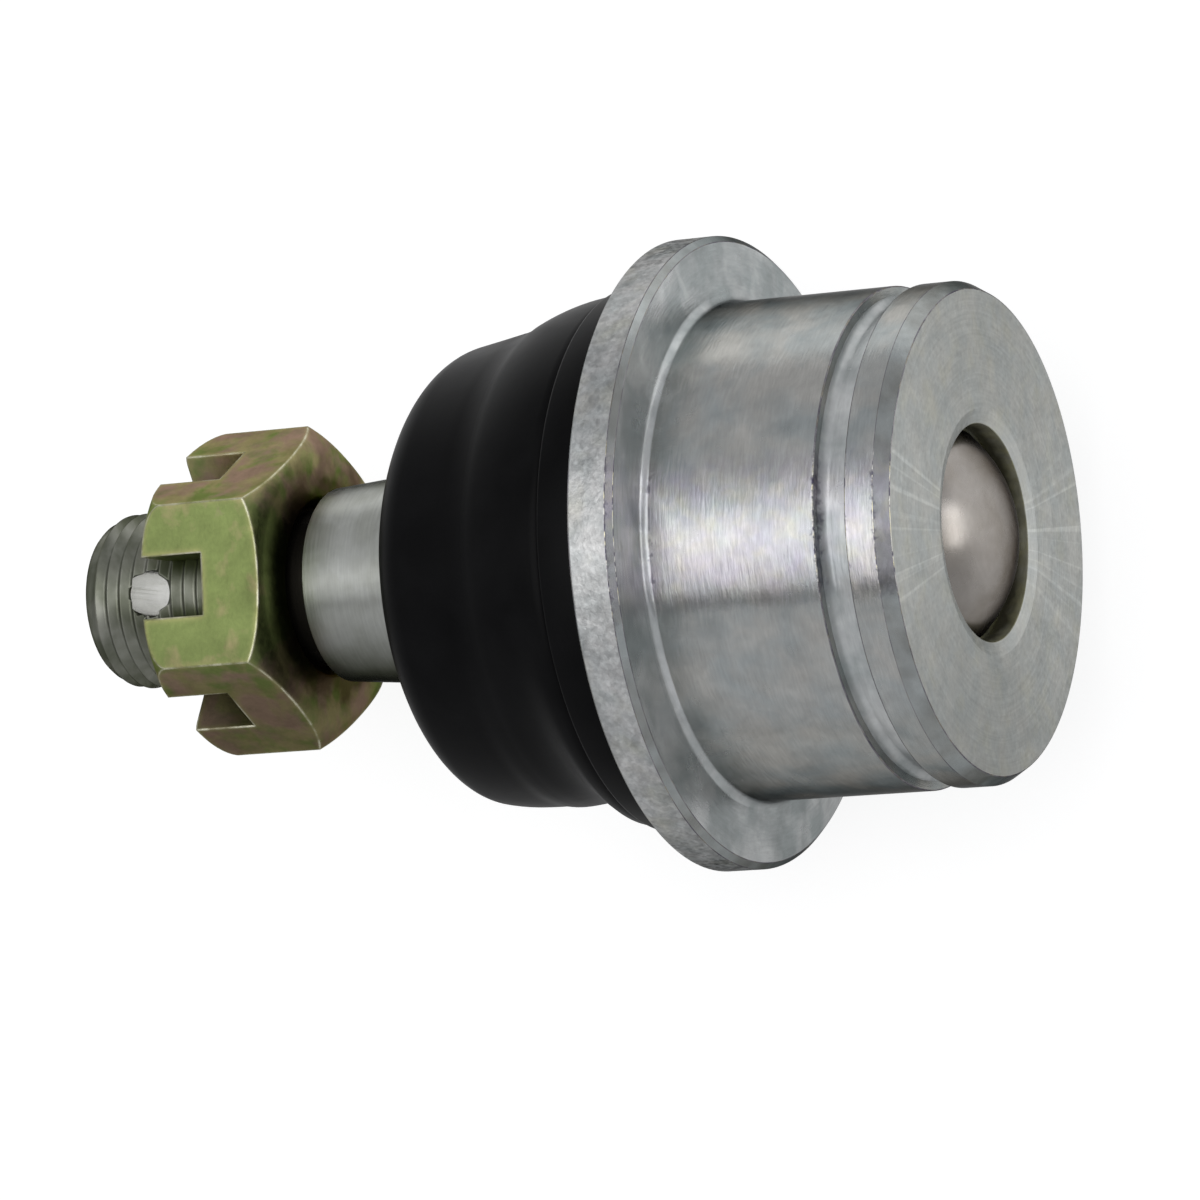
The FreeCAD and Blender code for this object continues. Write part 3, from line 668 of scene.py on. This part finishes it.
def yellow_chromate(colours):
    """Yellow chromate on zinc. Its thin film drifts from green over gold to rose in soft patches
    a few millimetres across, and it wears to a broken pale line along the edges, which also
    paints their highlight. Painted shade darkens the seat beside the taper and the -Y side."""
    film = Surface("Yellow chromate on zinc")
    # Painted reflection: the two flats that look along Z are greener and less rose
    side = film.add("Math", {0: film.sine}, operation="ABSOLUTE")
    flats = film.add("MapRange", {
        "Value": side, "From Min": 0.80, "From Max": 0.90, "To Min": -0.05, "To Max": 0.14})
    green = film.add("Math", {0: film.patches(3.5, 0, 1, 0, 1), 1: flats}, operation="ADD")
    green = film.add("MapRange", {"Value": green, "From Min": 0.42, "From Max": 0.56})
    rose = film.patches(4, 0, 1, 0, 1, detail=8.0, turn=4.0)
    rose = film.add("Math", {0: rose, 1: flats}, operation="SUBTRACT")
    rose = film.add("MapRange", {"Value": rose, "From Min": 0.48, "From Max": 0.62, "To Max": 0.7})
    # Painted shade darkens the seat beside the taper, where nut and taper meet
    ragged = film.patches(3, -1.5 * MM, 1.5 * MM, detail=6.0, turn=8.0)
    reach = film.add("Math", {0: film.radius, 1: ragged}, operation="ADD")
    nut_shade = film.add("MapRange", {
        "Value": reach, "From Min": 16 * MM, "From Max": 11 * MM, "To Max": 0.8})
    seat_side = film.add("MapRange", {
        "Value": film.x, "From Min": NUT_HIGH.x - 2.5 * MM, "From Max": NUT_HIGH.x - 1.5 * MM})
    nut_shade = film.add("Math", {0: nut_shade, 1: seat_side}, operation="MULTIPLY")
    # A lighter painted shade darkens the -Y side
    run = film.add("MapRange", {
        "Value": film.cosine, "From Min": -0.35, "From Max": -0.75, "To Max": 0.42})
    nut_shade = film.add("Math", {0: nut_shade, 1: run}, operation="MAXIMUM")
    # Edges show where a normal eased over them leaves the one of the surface. At 0.4 mm from an
    # outer edge the film wears and a highlight is painted, and up to 1.5 mm from it a yellower glow
    # is painted.
    outer = film.add("MapRange", {"Value": film.radius, "From Min": 11 * MM, "From Max": 12 * MM})
    own_normal = film.add("NewGeometry").outputs["Normal"]
    normals = []
    levels = []
    for width, start, end, most in ((0.38, 0.997, 0.96, 1.0), (1.5, 1.0, 0.90, 0.55)):
        normals.append(film.add("Bevel", {"Radius": width * MM}, samples=8))
        agreed = film.add("VectorMath", {0: normals[-1], 1: own_normal}, operation="DOT_PRODUCT")
        level = film.add("MapRange", {
            "Value": agreed.outputs["Value"], "From Min": start, "From Max": end, "To Max": most})
        levels.append(film.add("Math", {0: level, 1: outer}, operation="MULTIPLY"))
    wear_highlight, edge_glow = levels
    broken = film.patches(2, 0.15, 1, 0.40, 0.60, turn=9.0)
    wear_highlight = film.add("Math", {0: wear_highlight, 1: broken}, operation="MULTIPLY")
    return film.finish(
        colours.chromate_gold,
        layers=[
            (green, colours.chromate_green),
            (rose, colours.chromate_rose),
            (edge_glow, colours.chromate_glow),
            (nut_shade, colours.recess_shade),
            (wear_highlight, colours.chromate_highlight),
        ],
        shades=[
            film.patches(3, 0.84, 1.12, detail=8.0, turn=1.0),
            film.patches(0.5, 0.90, 1.08),
        ],
        bumps=[
            (film.patches(3, 0, 1, turn=1.0), 0.2, 0.05),
            (film.patches(0.5, 0, 1), 0.25, 0.02),
        ],
        roughness=film.patches(0.5, 0.32, 0.42),
        sockets={"Metallic": 1.0, "Specular Tint": (0.3, 0.3, 0.3, 1), "Normal": normals[0]})


def moulded_rubber(colours):
    """Black chloroprene rubber from a polished mould: nearly black, with a broad soft sheen,
    a faint grey bloom and a fine grain."""
    rubber = Surface("Moulded chloroprene rubber")
    return rubber.finish(
        colours.rubber,
        layers=[(rubber.patches(8, 0, 1, 0.4, 0.7), colours.rubber_bloom)],
        shades=[rubber.patches(0.4, 0.9, 1.1)],
        bumps=[
            (rubber.patches(0.4, 0, 1), 0.10, 0.02),
            (rubber.patches(5, 0, 1, turn=2.0), 0.15, 0.05),
        ],
        roughness=rubber.patches(8, 0.36, 0.46),
        sockets={"Metallic": 0.0, "IOR": 1.5, "Specular IOR Level": 0.08})


class BALL_JOINT_OT_housing(bpy.types.Operator):
    """Turns the plated housing with its journal, ring groove, flange, collar and open end face"""
    bl_idname = "ball_joint.housing"
    bl_label = "Housing"

    def execute(self, context):
        s = context.scene.joint_housing
        colours = context.scene.joint_finish
        flange_front = s.end_face - s.journal_length
        flange_back = flange_front - s.flange_thickness
        groove_near = s.end_face - s.groove_start
        groove_far = groove_near - s.groove_width
        groove_floor = s.journal_radius - s.groove_depth
        floor = s.end_face - s.end_wall
        ring_near = floor - s.bore_length
        ring_far = ring_near - s.ring_seat
        lip_end = ring_far - s.lip_length
        mouth_edge = s.opening_radius + s.opening_chamfer
        nose_radius = s.land_radius - s.nose_depth
        rim_edge = s.flange_radius - s.flange_chamfer
        edges = [
            (s.end_face, nose_radius),
            (s.end_face - s.nose_length, s.land_radius),
            (groove_near, s.land_radius),
            (groove_far, s.journal_radius),
            (flange_front, rim_edge),
            (flange_front - s.flange_chamfer, s.flange_radius),
        ]
        bevel = 0.9 * MM
        outline = eased([
            (floor, s.bore_radius),
            (floor, s.opening_radius),
            (s.end_face - s.opening_depth, s.opening_radius),
            (s.end_face, mouth_edge),
            *edges[:3],
            (groove_near, groove_floor, s.groove_fillet),
            (groove_far, groove_floor, s.groove_sweep),
            edges[3],
            (flange_front, s.journal_radius, s.shoulder),
            *edges[4:],
            (flange_back + s.back_chamfer, s.flange_radius),
            (flange_back, s.flange_radius - s.back_chamfer),
            (flange_back, s.collar_radius),
            (s.collar_end, s.collar_radius),
            (s.collar_end, s.mouth_radius),
            (lip_end - bevel, s.mouth_radius),
            (lip_end, s.lip_radius),
            (ring_far, s.lip_radius),
            (ring_far, s.mouth_radius),
            (ring_near, s.mouth_radius),
            (ring_near, s.bore_radius),
        ], s.edge, closed=True)
        piece = lathe("housing_turned", outline, closed=True)
        # The notches lie beside these places on the axis
        broken = (s.end_face - s.nose_length, groove_near, groove_far, flange_front + s.shoulder,
                  flange_front - s.flange_chamfer)
        # The groove and the flange face get lightened copies of the clear zinc, painted light
        smooth = colours.lightened_zinc
        dress(
            piece.data,
            turned_zinc("Clear zinc on turned steel", colours, colours.zinc, broken, bloom=0.42),
            faced_zinc(colours),
            spangled_zinc(colours),
            chalky_zinc(colours, s.end_face - s.opening_depth),
            nodular_edge(colours),
            turned_zinc("Lightened clear zinc in the groove", colours, smooth, broken, bloom=0.2, metallic=0.55),
            # The chamfers get a darkened copy of the clear zinc, painted shade
            turned_zinc("Shaded clear zinc on chamfers", colours, colours.chamfer, broken, bloom=0.4),
            turned_zinc("Lightened clear zinc on the flange face", colours, smooth, broken, bloom=0.2,
                        metallic=0.8))
        faced, coarse, opening, edge_line, groove, chamfer, face = range(1, 8)
        hair = 0.03 * MM
        for slot, test in (
            (faced, lambda x, r: x > s.end_face - hair and r > mouth_edge),
            (coarse, lambda x, r: r > s.flange_radius - hair),
            (opening, lambda x, r: x > floor - hair and r < s.opening_radius + 0.05 * MM),
            (groove, lambda x, r: groove_far < x < groove_near and groove_floor - hair < r),
            (face, lambda x, r: (flange_front - hair < x < flange_front + s.shoulder
                                 and r > s.journal_radius + hair)),
            (chamfer, lambda x, r: s.end_face - s.nose_length < x < s.end_face and r > nose_radius),
            (chamfer, lambda x, r: flange_front - s.flange_chamfer < x < flange_front and r > rim_edge),
            (faced, lambda x, r: x > s.end_face - s.opening_depth and s.opening_radius < r < mouth_edge),
            (edge_line, near_corners(edges, 1.4 * s.edge)),
        ):
            give_faces(piece, slot, test)
        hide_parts("housing")
        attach(piece, "housing")
        keep_flats_flat(piece)
        return {"FINISHED"}


def thread_bar(s, start):
    """The threaded end as one closed bar. Its rows follow the helix: root, flank, crest, flank."""
    depth = s.crest_radius - s.root_radius
    flank = depth * math.tan(math.radians(30))
    crest = s.pitch / 8
    root = s.pitch - crest - 2 * flank
    profile = [(0, 0), (root, 0), (root + flank, 1), (root + flank + crest, 1)]
    turns = math.ceil((start - s.tip) / s.pitch) + 2
    rows = [(turn * s.pitch + along, height) for turn in range(turns) for along, height in profile]
    steps = THREAD_STEPS

    def limit(x):
        """The radius that the blank leaves to the thread: a run-in at the start and a round tip."""
        run_in = s.root_radius + depth * min(1, max(0, (start - x) / (1.5 * s.pitch)))
        share = min(1, max(0, (s.tip + s.tip_round - x) / s.tip_round))
        return min(run_in, s.crest_radius - (s.crest_radius - s.tip_radius) * share ** 2)

    vertices = []
    for along, height in rows:
        for step in range(steps):
            angle = 2 * math.pi * step / steps
            x = start + s.pitch - along - s.pitch * step / steps
            x = min(start, max(s.tip, x))
            radius = min(s.root_radius + depth * height, limit(x))
            vertices.append((x, radius * math.cos(angle), radius * math.sin(angle)))

    def at(row, step):
        """After a full turn the helix goes on in the row one pitch further along."""
        if step < steps:
            return row * steps + step
        return (row + len(profile)) * steps

    faces = []
    for row in range(len(rows) - 1 - len(profile)):
        for step in range(steps):
            faces.append([at(row, step), at(row + 1, step), at(row + 1, step + 1), at(row, step + 1)])
    return new_piece("stud_thread", vertices, faces, merge=2e-6, close=True)


class BALL_JOINT_OT_stud(bpy.types.Operator):
    """Turns the ball stud, rolls its thread and drills the cross hole"""
    bl_idname = "ball_joint.stud"
    bl_label = "Ball stud"

    def execute(self, context):
        s = context.scene.joint_stud
        colours = context.scene.joint_finish
        neck_x = -math.sqrt(s.ball_radius ** 2 - s.neck_radius ** 2)
        taper_large_x = -s.taper_start
        taper_small_x = taper_large_x - s.taper_length
        thread_x = taper_small_x - s.taper_chamfer
        # The thread starts inside the nut. The ball stops just short of the neck's corner.
        thread_start = NUT_HIGH.x - 1.5 * MM
        ball_end = math.atan2(s.neck_radius, neck_x)
        ball_steps = 72
        spokes = [ball_end * step / ball_steps for step in range(ball_steps - 2)]
        ball = [(s.ball_radius * math.cos(a), s.ball_radius * math.sin(a)) for a in spokes]
        ball[0] = (s.ball_radius, 0)
        shank = eased([
            ball[-1],
            (neck_x, s.neck_radius, s.neck_fillet),
            (taper_large_x + s.flare, s.neck_radius, s.neck_fillet),
            (taper_large_x, s.taper_large, 0.4 * MM),
            (taper_small_x, s.taper_small, 0.15 * MM),
            (thread_x, s.relief_radius),
            (thread_start - s.pitch, s.relief_radius),
            (thread_start - s.pitch, 0),
        ], 0.05 * MM)
        piece = lathe("stud_turned", ball + shank[1:])
        # Painted shade: the thread relief between taper and nut, and the thread's start inside the nut, get
        # a dark steel
        relief_shade = ground_steel("Painted shade in the thread relief", colours.relief, colours.relief,
                             pitch=0.3, gloss=0.5, contrast=0.1, anisotropy=0.0, edge_tint=0.0)
        dress(
            piece.data,
            ground_steel("Polished bearing steel ball", colours.ball, colours.ball_haze,
                         pitch=0.25, gloss=0.27, contrast=0.04, anisotropy=0.2, edge_tint=0.05),
            ground_steel("Ground steel taper", colours.shank, colours.shank_haze, side_shade=colours.side_shade,
                         pitch=0.30, gloss=0.31, contrast=0.09, anisotropy=0.4, edge_tint=0.0),
            relief_shade)
        taper_slot, relief_slot = 1, 2
        give_faces(piece, taper_slot, lambda x, r: x < neck_x)
        give_faces(piece, relief_slot, lambda x, r: x < taper_small_x - 0.05 * MM)
        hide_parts("ball_stud")
        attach(piece, "stud")
        keep_flats_flat(piece)

        hole_x = s.tip + s.pin_hole_from_tip
        reach = 2 * s.root_radius
        drill = lathe("cross_hole_drill", [(-reach, 0), (-reach, s.pin_hole_radius),
                                           (reach, s.pin_hole_radius), (reach, 0)], steps=DRILL_STEPS)
        drill.data.transform(Matrix.Translation((hole_x, 0, 0)) @ Matrix.Rotation(math.radians(90), 4, "Y"))
        thread = thread_bar(s, thread_start)
        combine(thread, drill, "DIFFERENCE")
        dress(
            thread.data,
            ground_steel("Rolled steel thread", colours.thread, colours.steel_haze,
                         pitch=0.5, gloss=0.40, contrast=0.06, anisotropy=0.3, edge_tint=0.05),
            ground_steel("Drilled steel bore", colours.bore, colours.bore,
                         pitch=1.0, gloss=0.22, contrast=0.0, anisotropy=0.0, edge_tint=1.0),
            relief_shade)
        rolled_slot, drilled_slot, relief_shade_slot = 0, 1, 2
        for face in thread.data.polygons:
            middle = face.center
            drilled = math.hypot(middle.x - hole_x, middle.y) < s.pin_hole_radius + 0.01 * MM
            at_relief = middle.x > thread_start - s.pitch / 2
            face.material_index = drilled_slot if drilled else relief_shade_slot if at_relief else rolled_slot
        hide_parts("ball_stud")
        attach(thread, "stud")
        thread.data.set_sharp_from_angle(angle=math.radians(75))
        keep_flats_flat(thread)
        return {"FINISHED"}


class BALL_JOINT_OT_nut(bpy.types.Operator):
    """Cuts the slotted hexagon nut from a turned blank"""
    bl_idname = "ball_joint.nut"
    bl_label = "Slotted nut"

    def execute(self, context):
        s = context.scene.joint_nut
        colours = context.scene.joint_finish
        corner = s.half_flats / math.cos(math.radians(30))
        blank = corner + 0.02 * MM
        quarter = [math.pi / 2 * step / 10 for step in range(11)]
        crown = [(s.crown + s.crown_drop * (1 - math.cos(a)),
                  s.crown_radius + (blank - s.crown_radius) * math.sin(a)) for a in quarter]
        seat_round = bow((s.seat, s.seat_circle), (s.seat - s.seat_rise, blank), s.seat_bend, 12)
        outline = [(s.seat, s.bore_radius + s.bore_chamfer)] + seat_round + crown[::-1] + [
            (s.crown, s.bore_radius + s.bore_chamfer),
            (s.crown + s.bore_chamfer, s.bore_radius),
            (s.seat - s.bore_chamfer, s.bore_radius),
        ]
        piece = lathe("castle_nut_cut", outline, closed=True, steps=NUT_STEPS)
        spare = 1 * MM
        ends = (s.crown - spare, s.seat + spare)
        turns = [math.radians(60 * side) for side in range(6)]
        hexagon = [(x, corner * math.cos(a), corner * math.sin(a)) for x in ends for a in turns]
        sides = [[i, (i + 1) % 6, 6 + (i + 1) % 6, 6 + i] for i in range(6)]
        bar = new_piece("hexagon_bar", hexagon, sides + [list(range(6)), list(range(6, 12))], smooth=False)
        combine(piece, bar, "INTERSECT")
        half = s.slot_width / 2
        walls = [(0, 1, 3, 2), (4, 6, 7, 5), (0, 4, 5, 1), (2, 3, 7, 6), (0, 2, 6, 4), (1, 5, 7, 3)]
        # Each cut goes right through, so that it opens two slots
        for turn in range(s.slots // 2):
            corners = [(x, y, z) for x in (s.crown - spare, s.crown + s.slot_depth)
                       for y in (-half, half) for z in (-blank - spare, blank + spare)]
            cutter = new_piece("slot_cutter", corners, walls, smooth=False)
            cutter.data.transform(Matrix.Rotation(2 * math.pi / s.slots * turn, 4, "X"))
            combine(piece, cutter, "DIFFERENCE")
        piece.data.shade_smooth()
        piece.data.set_sharp_from_angle(angle=math.radians(18))
        dress(piece.data, yellow_chromate(colours))
        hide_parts("castle_nut")
        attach(piece, "stud")
        return {"FINISHED"}


class BALL_JOINT_OT_boot(bpy.types.Operator):
    """Moulds the dust boot as skirt, crown and lip, and attaches the lip to the body of the boot's neck"""
    bl_idname = "ball_joint.boot"
    bl_label = "Dust boot"

    def execute(self, context):
        s = context.scene.joint_boot
        stud = context.scene.joint_stud
        bead_end = s.bead_near - s.bead_height
        taper_slope = (stud.taper_large - stud.taper_small) / stud.taper_length
        small_x = -stud.taper_start - stud.taper_length
        lip_inside = stud.taper_small + taper_slope * (s.lip_end - small_x) + 0.2 * MM
        skirt_start = (bead_end - 0.5 * MM, s.bead_radius - s.crease)
        skirt_end = (bead_end - s.skirt_rise, s.skirt_radius)
        waist = (skirt_end[0] - s.waist_rise, s.waist_radius)
        shoulder = (waist[0] - s.shoulder_rise, s.shoulder_radius)
        crown_start = (shoulder[0] - s.crown_rise, s.crown_radius)
        lip_foot = (crown_start[0] - s.lip_foot_rise, s.lip_foot_radius)
        drum = [(waist[0] + (shoulder[0] - waist[0]) * step / 8,
                 waist[1] + (shoulder[1] - waist[1]) * step / 8) for step in range(1, 8)]
        flank = (bow(skirt_start, skirt_end, s.skirt_bend, 12)[:-1]
                 + bow(skirt_end, waist, -s.waist_bend, 10) + drum
                 + bow(shoulder, crown_start, s.shoulder_bend, 16))
        foot_ease = 1.2 * MM
        top = eased([
            flank[-1],
            lip_foot + (foot_ease,),
            (s.lip_end, lip_inside + s.lip_wall),
        ], 0.3 * MM)[1:]
        # The bead has rounded edges and ends in the moulded line
        bead = [(s.bead_near - along * MM, s.bead_radius - under * MM)
                for along, under in ((0, 0.35), (0.1, 0.1), (0.35, 0))]
        bead += [(bead_end - along * MM, s.bead_radius - under * MM)
                 for along, under in ((-0.3, 0), (-0.08, 0.08), (0, 0.3))]
        bead += [(bead_end - along * MM, s.bead_radius - s.crease - under * MM)
                 for along, under in ((0.1, 0.1), (0.25, 0.2))]
        outside = bead + flank + top
        seam_index = next(i for i, place in enumerate(outside) if place[0] < bead_end - s.skirt_share)
        seam = outside[seam_index][0]
        seam_inside = (seam, outside[seam_index][1] - s.wall)
        # Inside, the bead is a socket for its ring, and the skirt's wall starts behind it
        bead_inside = s.bead_radius - 3.0 * MM
        socket_end = s.bead_near - 4.9 * MM
        wall_start = min(bead_end, socket_end - 0.6 * MM)
        skirt = outside[:seam_index + 1] + [seam_inside]
        skirt += [(x, radius - s.wall) for x, radius in outside[seam_index - 1::-1] if x < wall_start]
        skirt += [
            (socket_end, bead_inside - 0.3 * MM),
            (socket_end, bead_inside),
            (s.bead_near, bead_inside),
        ]
        # The lip's sleeve goes down the taper, and the crown's wall is thickest beside it
        inner_x = s.lip_end + 5.0 * MM
        sleeve_length = 7.2 * MM
        lip = top + [
            (s.lip_end, lip_inside),
            (s.lip_end + sleeve_length, lip_inside + taper_slope * sleeve_length),
            (s.lip_end + sleeve_length, lip_inside + 1.3 * MM),
            (inner_x, lip_inside + 1.5 * MM),
            (inner_x, top[0][1]),
        ]
        crown = outside[seam_index:len(outside) - len(top) + 1] + [
            (inner_x, top[0][1]),
            (inner_x, 18.0 * MM),
            (inner_x + 1.6 * MM, 20.4 * MM),
            (inner_x + 4.4 * MM, 21.5 * MM),
            seam_inside,
        ]
        pinch_x = skirt_end[0] + 3.6 * MM
        belly_x = shoulder[0] + 1.0 * MM
        belly_length = 7 * MM

        def settled(place):
            """The soft drum leans on its +Y side. On its -Y side the skirt is drawn in and it swells."""
            radius = math.hypot(place.y, place.z)
            high, low = max(0, place.y / radius), max(0, -place.y / radius)
            along = min(1, max(0, (skirt_start[0] - place.x) / (skirt_start[0] - shoulder[0])))
            outward = min(1, max(0, (radius - lip_foot[1]) / (s.shoulder_radius - lip_foot[1])))
            lean = s.lean * (3 * along ** 2 - 2 * along ** 3) * outward * high ** 1.5
            pinch_length = (3.8 if place.x > pinch_x else 6) * MM
            pinched = max(0, 1 - ((place.x - pinch_x) / pinch_length) ** 2) ** 2
            swollen = max(0, 1 - ((place.x - belly_x) / belly_length) ** 2) ** 2
            growth = (s.swell * swollen - s.drawn_in * pinched) * low ** 2
            grown = 1 + growth * outward / radius
            return Vector((place.x + lean, place.y * grown, place.z * grown))

        rubber = moulded_rubber(context.scene.joint_finish)
        for name, outline, bodies, start, end in (
            ("boot_skirt", skirt, ("housing", "boot"), bead_end, seam),
            ("boot_crown", crown, ("boot", "boot_neck"), seam, lip_foot[0] + 0.5 * MM),
            ("boot_lip", lip, ("boot_neck",), 0, 0),
        ):
            piece = lathe(name, outline, closed=True)
            for vertex in piece.data.vertices:
                vertex.co = settled(vertex.co)
            dress(piece.data, rubber)
            piece.data.set_sharp_from_angle(angle=math.radians(60))
            if len(bodies) == 2:
                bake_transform(piece)
            else:
                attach(piece, bodies[0])
            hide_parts("dust_boot")
        return {"FINISHED"}


class BALL_JOINT_OT_inner_rings(bpy.types.Operator):
    """Gives the bearings, washer and rings their steel finishes"""
    bl_idname = "ball_joint.inner_rings"
    bl_label = "Inner rings"

    def execute(self, context):
        colours = context.scene.joint_finish
        for name, body, gloss, nodes in (
            ("Hardened bearing steel", colours.opening, 0.38, ("lower_bearing", "upper_bearing")),
            ("Oiled spring steel", colours.thread, 0.35,
             ("preload_washer", "closing_ring", "boot_base_ring", "boot_neck_ring")),
        ):
            steel = ground_steel(name, body, colours.steel_haze,
                                 pitch=0.2, gloss=gloss, contrast=0.1, anisotropy=0.6, edge_tint=0.05)
            for node in nodes:
                dress(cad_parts[node].data, steel)
        return {"FINISHED"}


def studio_floor(colours):
    """Matt pale paper. It glows where it is seen, so that it reads as white, and it keeps the
    object's soft shadow."""
    paper = Surface("Pale studio floor")
    rays = paper.add("LightPath").outputs
    tone = paper.add("Mix", {
        0: paper.patches(30, 0, 1), 6: rgba(colours.floor), 7: rgba(colours.floor_fleck)},
        data_type="RGBA").outputs[2]
    # The glow that metal reflects falls off on the -Y side
    lit = paper.add("MapRange", {
        "Value": paper.y, "From Min": -55 * MM, "From Max": 0.0, "To Min": 0.18, "To Max": 0.62})
    mirrored = paper.add("Math", {0: rays["Is Glossy Ray"], 1: lit}, operation="MULTIPLY")
    seen = paper.add("Math", {0: rays["Is Camera Ray"], 1: rays["Is Transmission Ray"]},
                     operation="MAXIMUM")
    seen = paper.add("Math", {0: seen, 1: 0.80}, operation="MULTIPLY")
    glow = paper.add("Math", {0: seen, 1: mirrored}, operation="MAXIMUM")
    matt = paper.add("BsdfDiffuse", {"Color": tone})
    light = paper.add("Emission", {"Strength": glow})
    both = paper.add("AddShader", {0: matt, 1: light})
    paper.add("OutputMaterial", {"Surface": both})
    return paper.material


def softbox(name, place, width, depth, power):
    """A lit panel that faces the ball's centre, with its size in metres and its power in watts."""
    data = bpy.data.lights.new(name, "AREA")
    data.shape = "RECTANGLE"
    data.size = width
    data.size_y = depth
    data.energy = power
    lamp = bpy.data.objects.new(name, data)
    bpy.context.scene.collection.objects.link(lamp)
    lamp.location = place
    lamp.rotation_mode = "QUATERNION"
    lamp.rotation_quaternion = (-Vector(place)).to_track_quat("-Z", "Y")


class BALL_JOINT_OT_stage(bpy.types.Operator):
    """Sets up the camera, the pale floor and the soft studio light"""
    bl_idname = "ball_joint.stage"
    bl_label = "Stage"

    def execute(self, context):
        s = context.scene.joint_stage
        colours = context.scene.joint_finish
        flat = math.cos(s.elevation)
        back = Vector((math.sin(s.azimuth) * flat, -math.cos(s.azimuth) * flat, math.sin(s.elevation)))
        aim = Vector((s.aim_x, s.aim_y, s.aim_z))
        data = bpy.data.cameras.new("Camera")
        data.lens = s.lens
        data.clip_start = 20 * MM
        camera = bpy.data.objects.new("Camera", data)
        context.scene.collection.objects.link(camera)
        camera.rotation_mode = "QUATERNION"
        camera.location = aim + back * s.distance
        level = (-back).to_track_quat("-Z", "Y")
        camera.rotation_quaternion = level @ Quaternion((0, 0, 1), -s.roll)
        context.scene.camera = camera

        # The floor goes three metres each way
        far = 3.0
        corners = [(x, y, CAD_LOW.z) for x, y in ((-far, -far), (far, -far), (far, far), (-far, far))]
        floor = new_piece("floor", corners, [(0, 1, 2, 3)], smooth=False)
        dress(floor.data, studio_floor(colours))

        softbox("overhead_softbox", (-0.03, 0.035, 0.70), 0.70, 0.60, s.key_power)
        softbox("end_softbox", (0.55, 0.06, 0.03), 0.28, 0.16, s.end_power)
        world = bpy.data.worlds.new("Studio")
        context.scene.world = world
        world.use_nodes = True
        tree = world.node_tree
        tree.nodes.clear()
        # The studio's walls glow almost evenly. On the -Y side a dark gap is left beside the
        # overhead softbox, 26 degrees from straight up. Seen directly, the walls are white.
        direction = add(tree, "TexCoord").outputs["Generated"]
        x, y, z = add(tree, "SeparateXYZ", {"Vector": direction}).outputs
        side = add(tree, "MapRange", {
            "Value": y, "From Min": -1.0, "From Max": 1.0, "To Min": 1.05, "To Max": 0.95})
        slant = add(tree, "Math", {0: y, 1: z}, operation="ARCTAN2")
        slant = add(tree, "Math", {0: slant, 1: math.radians(26)}, operation="ADD")
        slant = add(tree, "Math", {0: slant}, operation="ABSOLUTE")
        gap = add(tree, "MapRange", {
            "Value": slant, "From Min": math.radians(2), "From Max": math.radians(5),
            "To Min": 0.1, "To Max": 1.0}, interpolation_type="SMOOTHSTEP")
        level = add(tree, "Math", {0: side, 1: gap}, operation="MULTIPLY")
        level = add(tree, "Math", {0: level, 1: s.sky}, operation="MULTIPLY")
        seen = add(tree, "LightPath").outputs["Is Camera Ray"]
        level = add(tree, "Math", {0: level, 1: seen}, operation="MAXIMUM")
        glow = add(tree, "Background", {"Color": rgba(colours.wall), "Strength": level})
        add(tree, "OutputWorld", {"Surface": glow})
        context.scene.view_settings.view_transform = "Standard"
        return {"FINISHED"}


class BALL_JOINT_PT_panel(bpy.types.Panel):
    """Lists the steps that build the ball joint"""
    bl_idname = "BALL_JOINT_PT_panel"
    bl_label = "Ball joint"
    bl_space_type = "VIEW_3D"
    bl_region_type = "UI"
    bl_category = "Ball joint"

    def draw(self, context):
        for operator in OPERATORS:
            self.layout.operator(operator.bl_idname)


GROUPS = {
    "joint_housing": HousingSizes,
    "joint_stud": StudSizes,
    "joint_nut": NutSizes,
    "joint_boot": BootSizes,
    "joint_finish": FinishColours,
    "joint_stage": StageSettings,
}
OPERATORS = (
    BALL_JOINT_OT_housing,
    BALL_JOINT_OT_stud,
    BALL_JOINT_OT_nut,
    BALL_JOINT_OT_boot,
    BALL_JOINT_OT_inner_rings,
    BALL_JOINT_OT_stage,
)


def register():
    for name, group in GROUPS.items():
        bpy.utils.register_class(group)
        setattr(bpy.types.Scene, name, PointerProperty(type=group))
    for item in OPERATORS + (BALL_JOINT_PT_panel,):
        bpy.utils.register_class(item)


def unregister():
    for item in (BALL_JOINT_PT_panel,) + OPERATORS[::-1]:
        bpy.utils.unregister_class(item)
    for name, group in reversed(list(GROUPS.items())):
        delattr(bpy.types.Scene, name)
        bpy.utils.unregister_class(group)


def main():
    register()
    bpy.ops.ball_joint.housing()
    bpy.ops.ball_joint.stud()
    bpy.ops.ball_joint.nut()
    bpy.ops.ball_joint.boot()
    bpy.ops.ball_joint.inner_rings()
    bpy.ops.ball_joint.stage()
    bpy.context.view_layer.update()


if __name__ == "__main__":
    main()
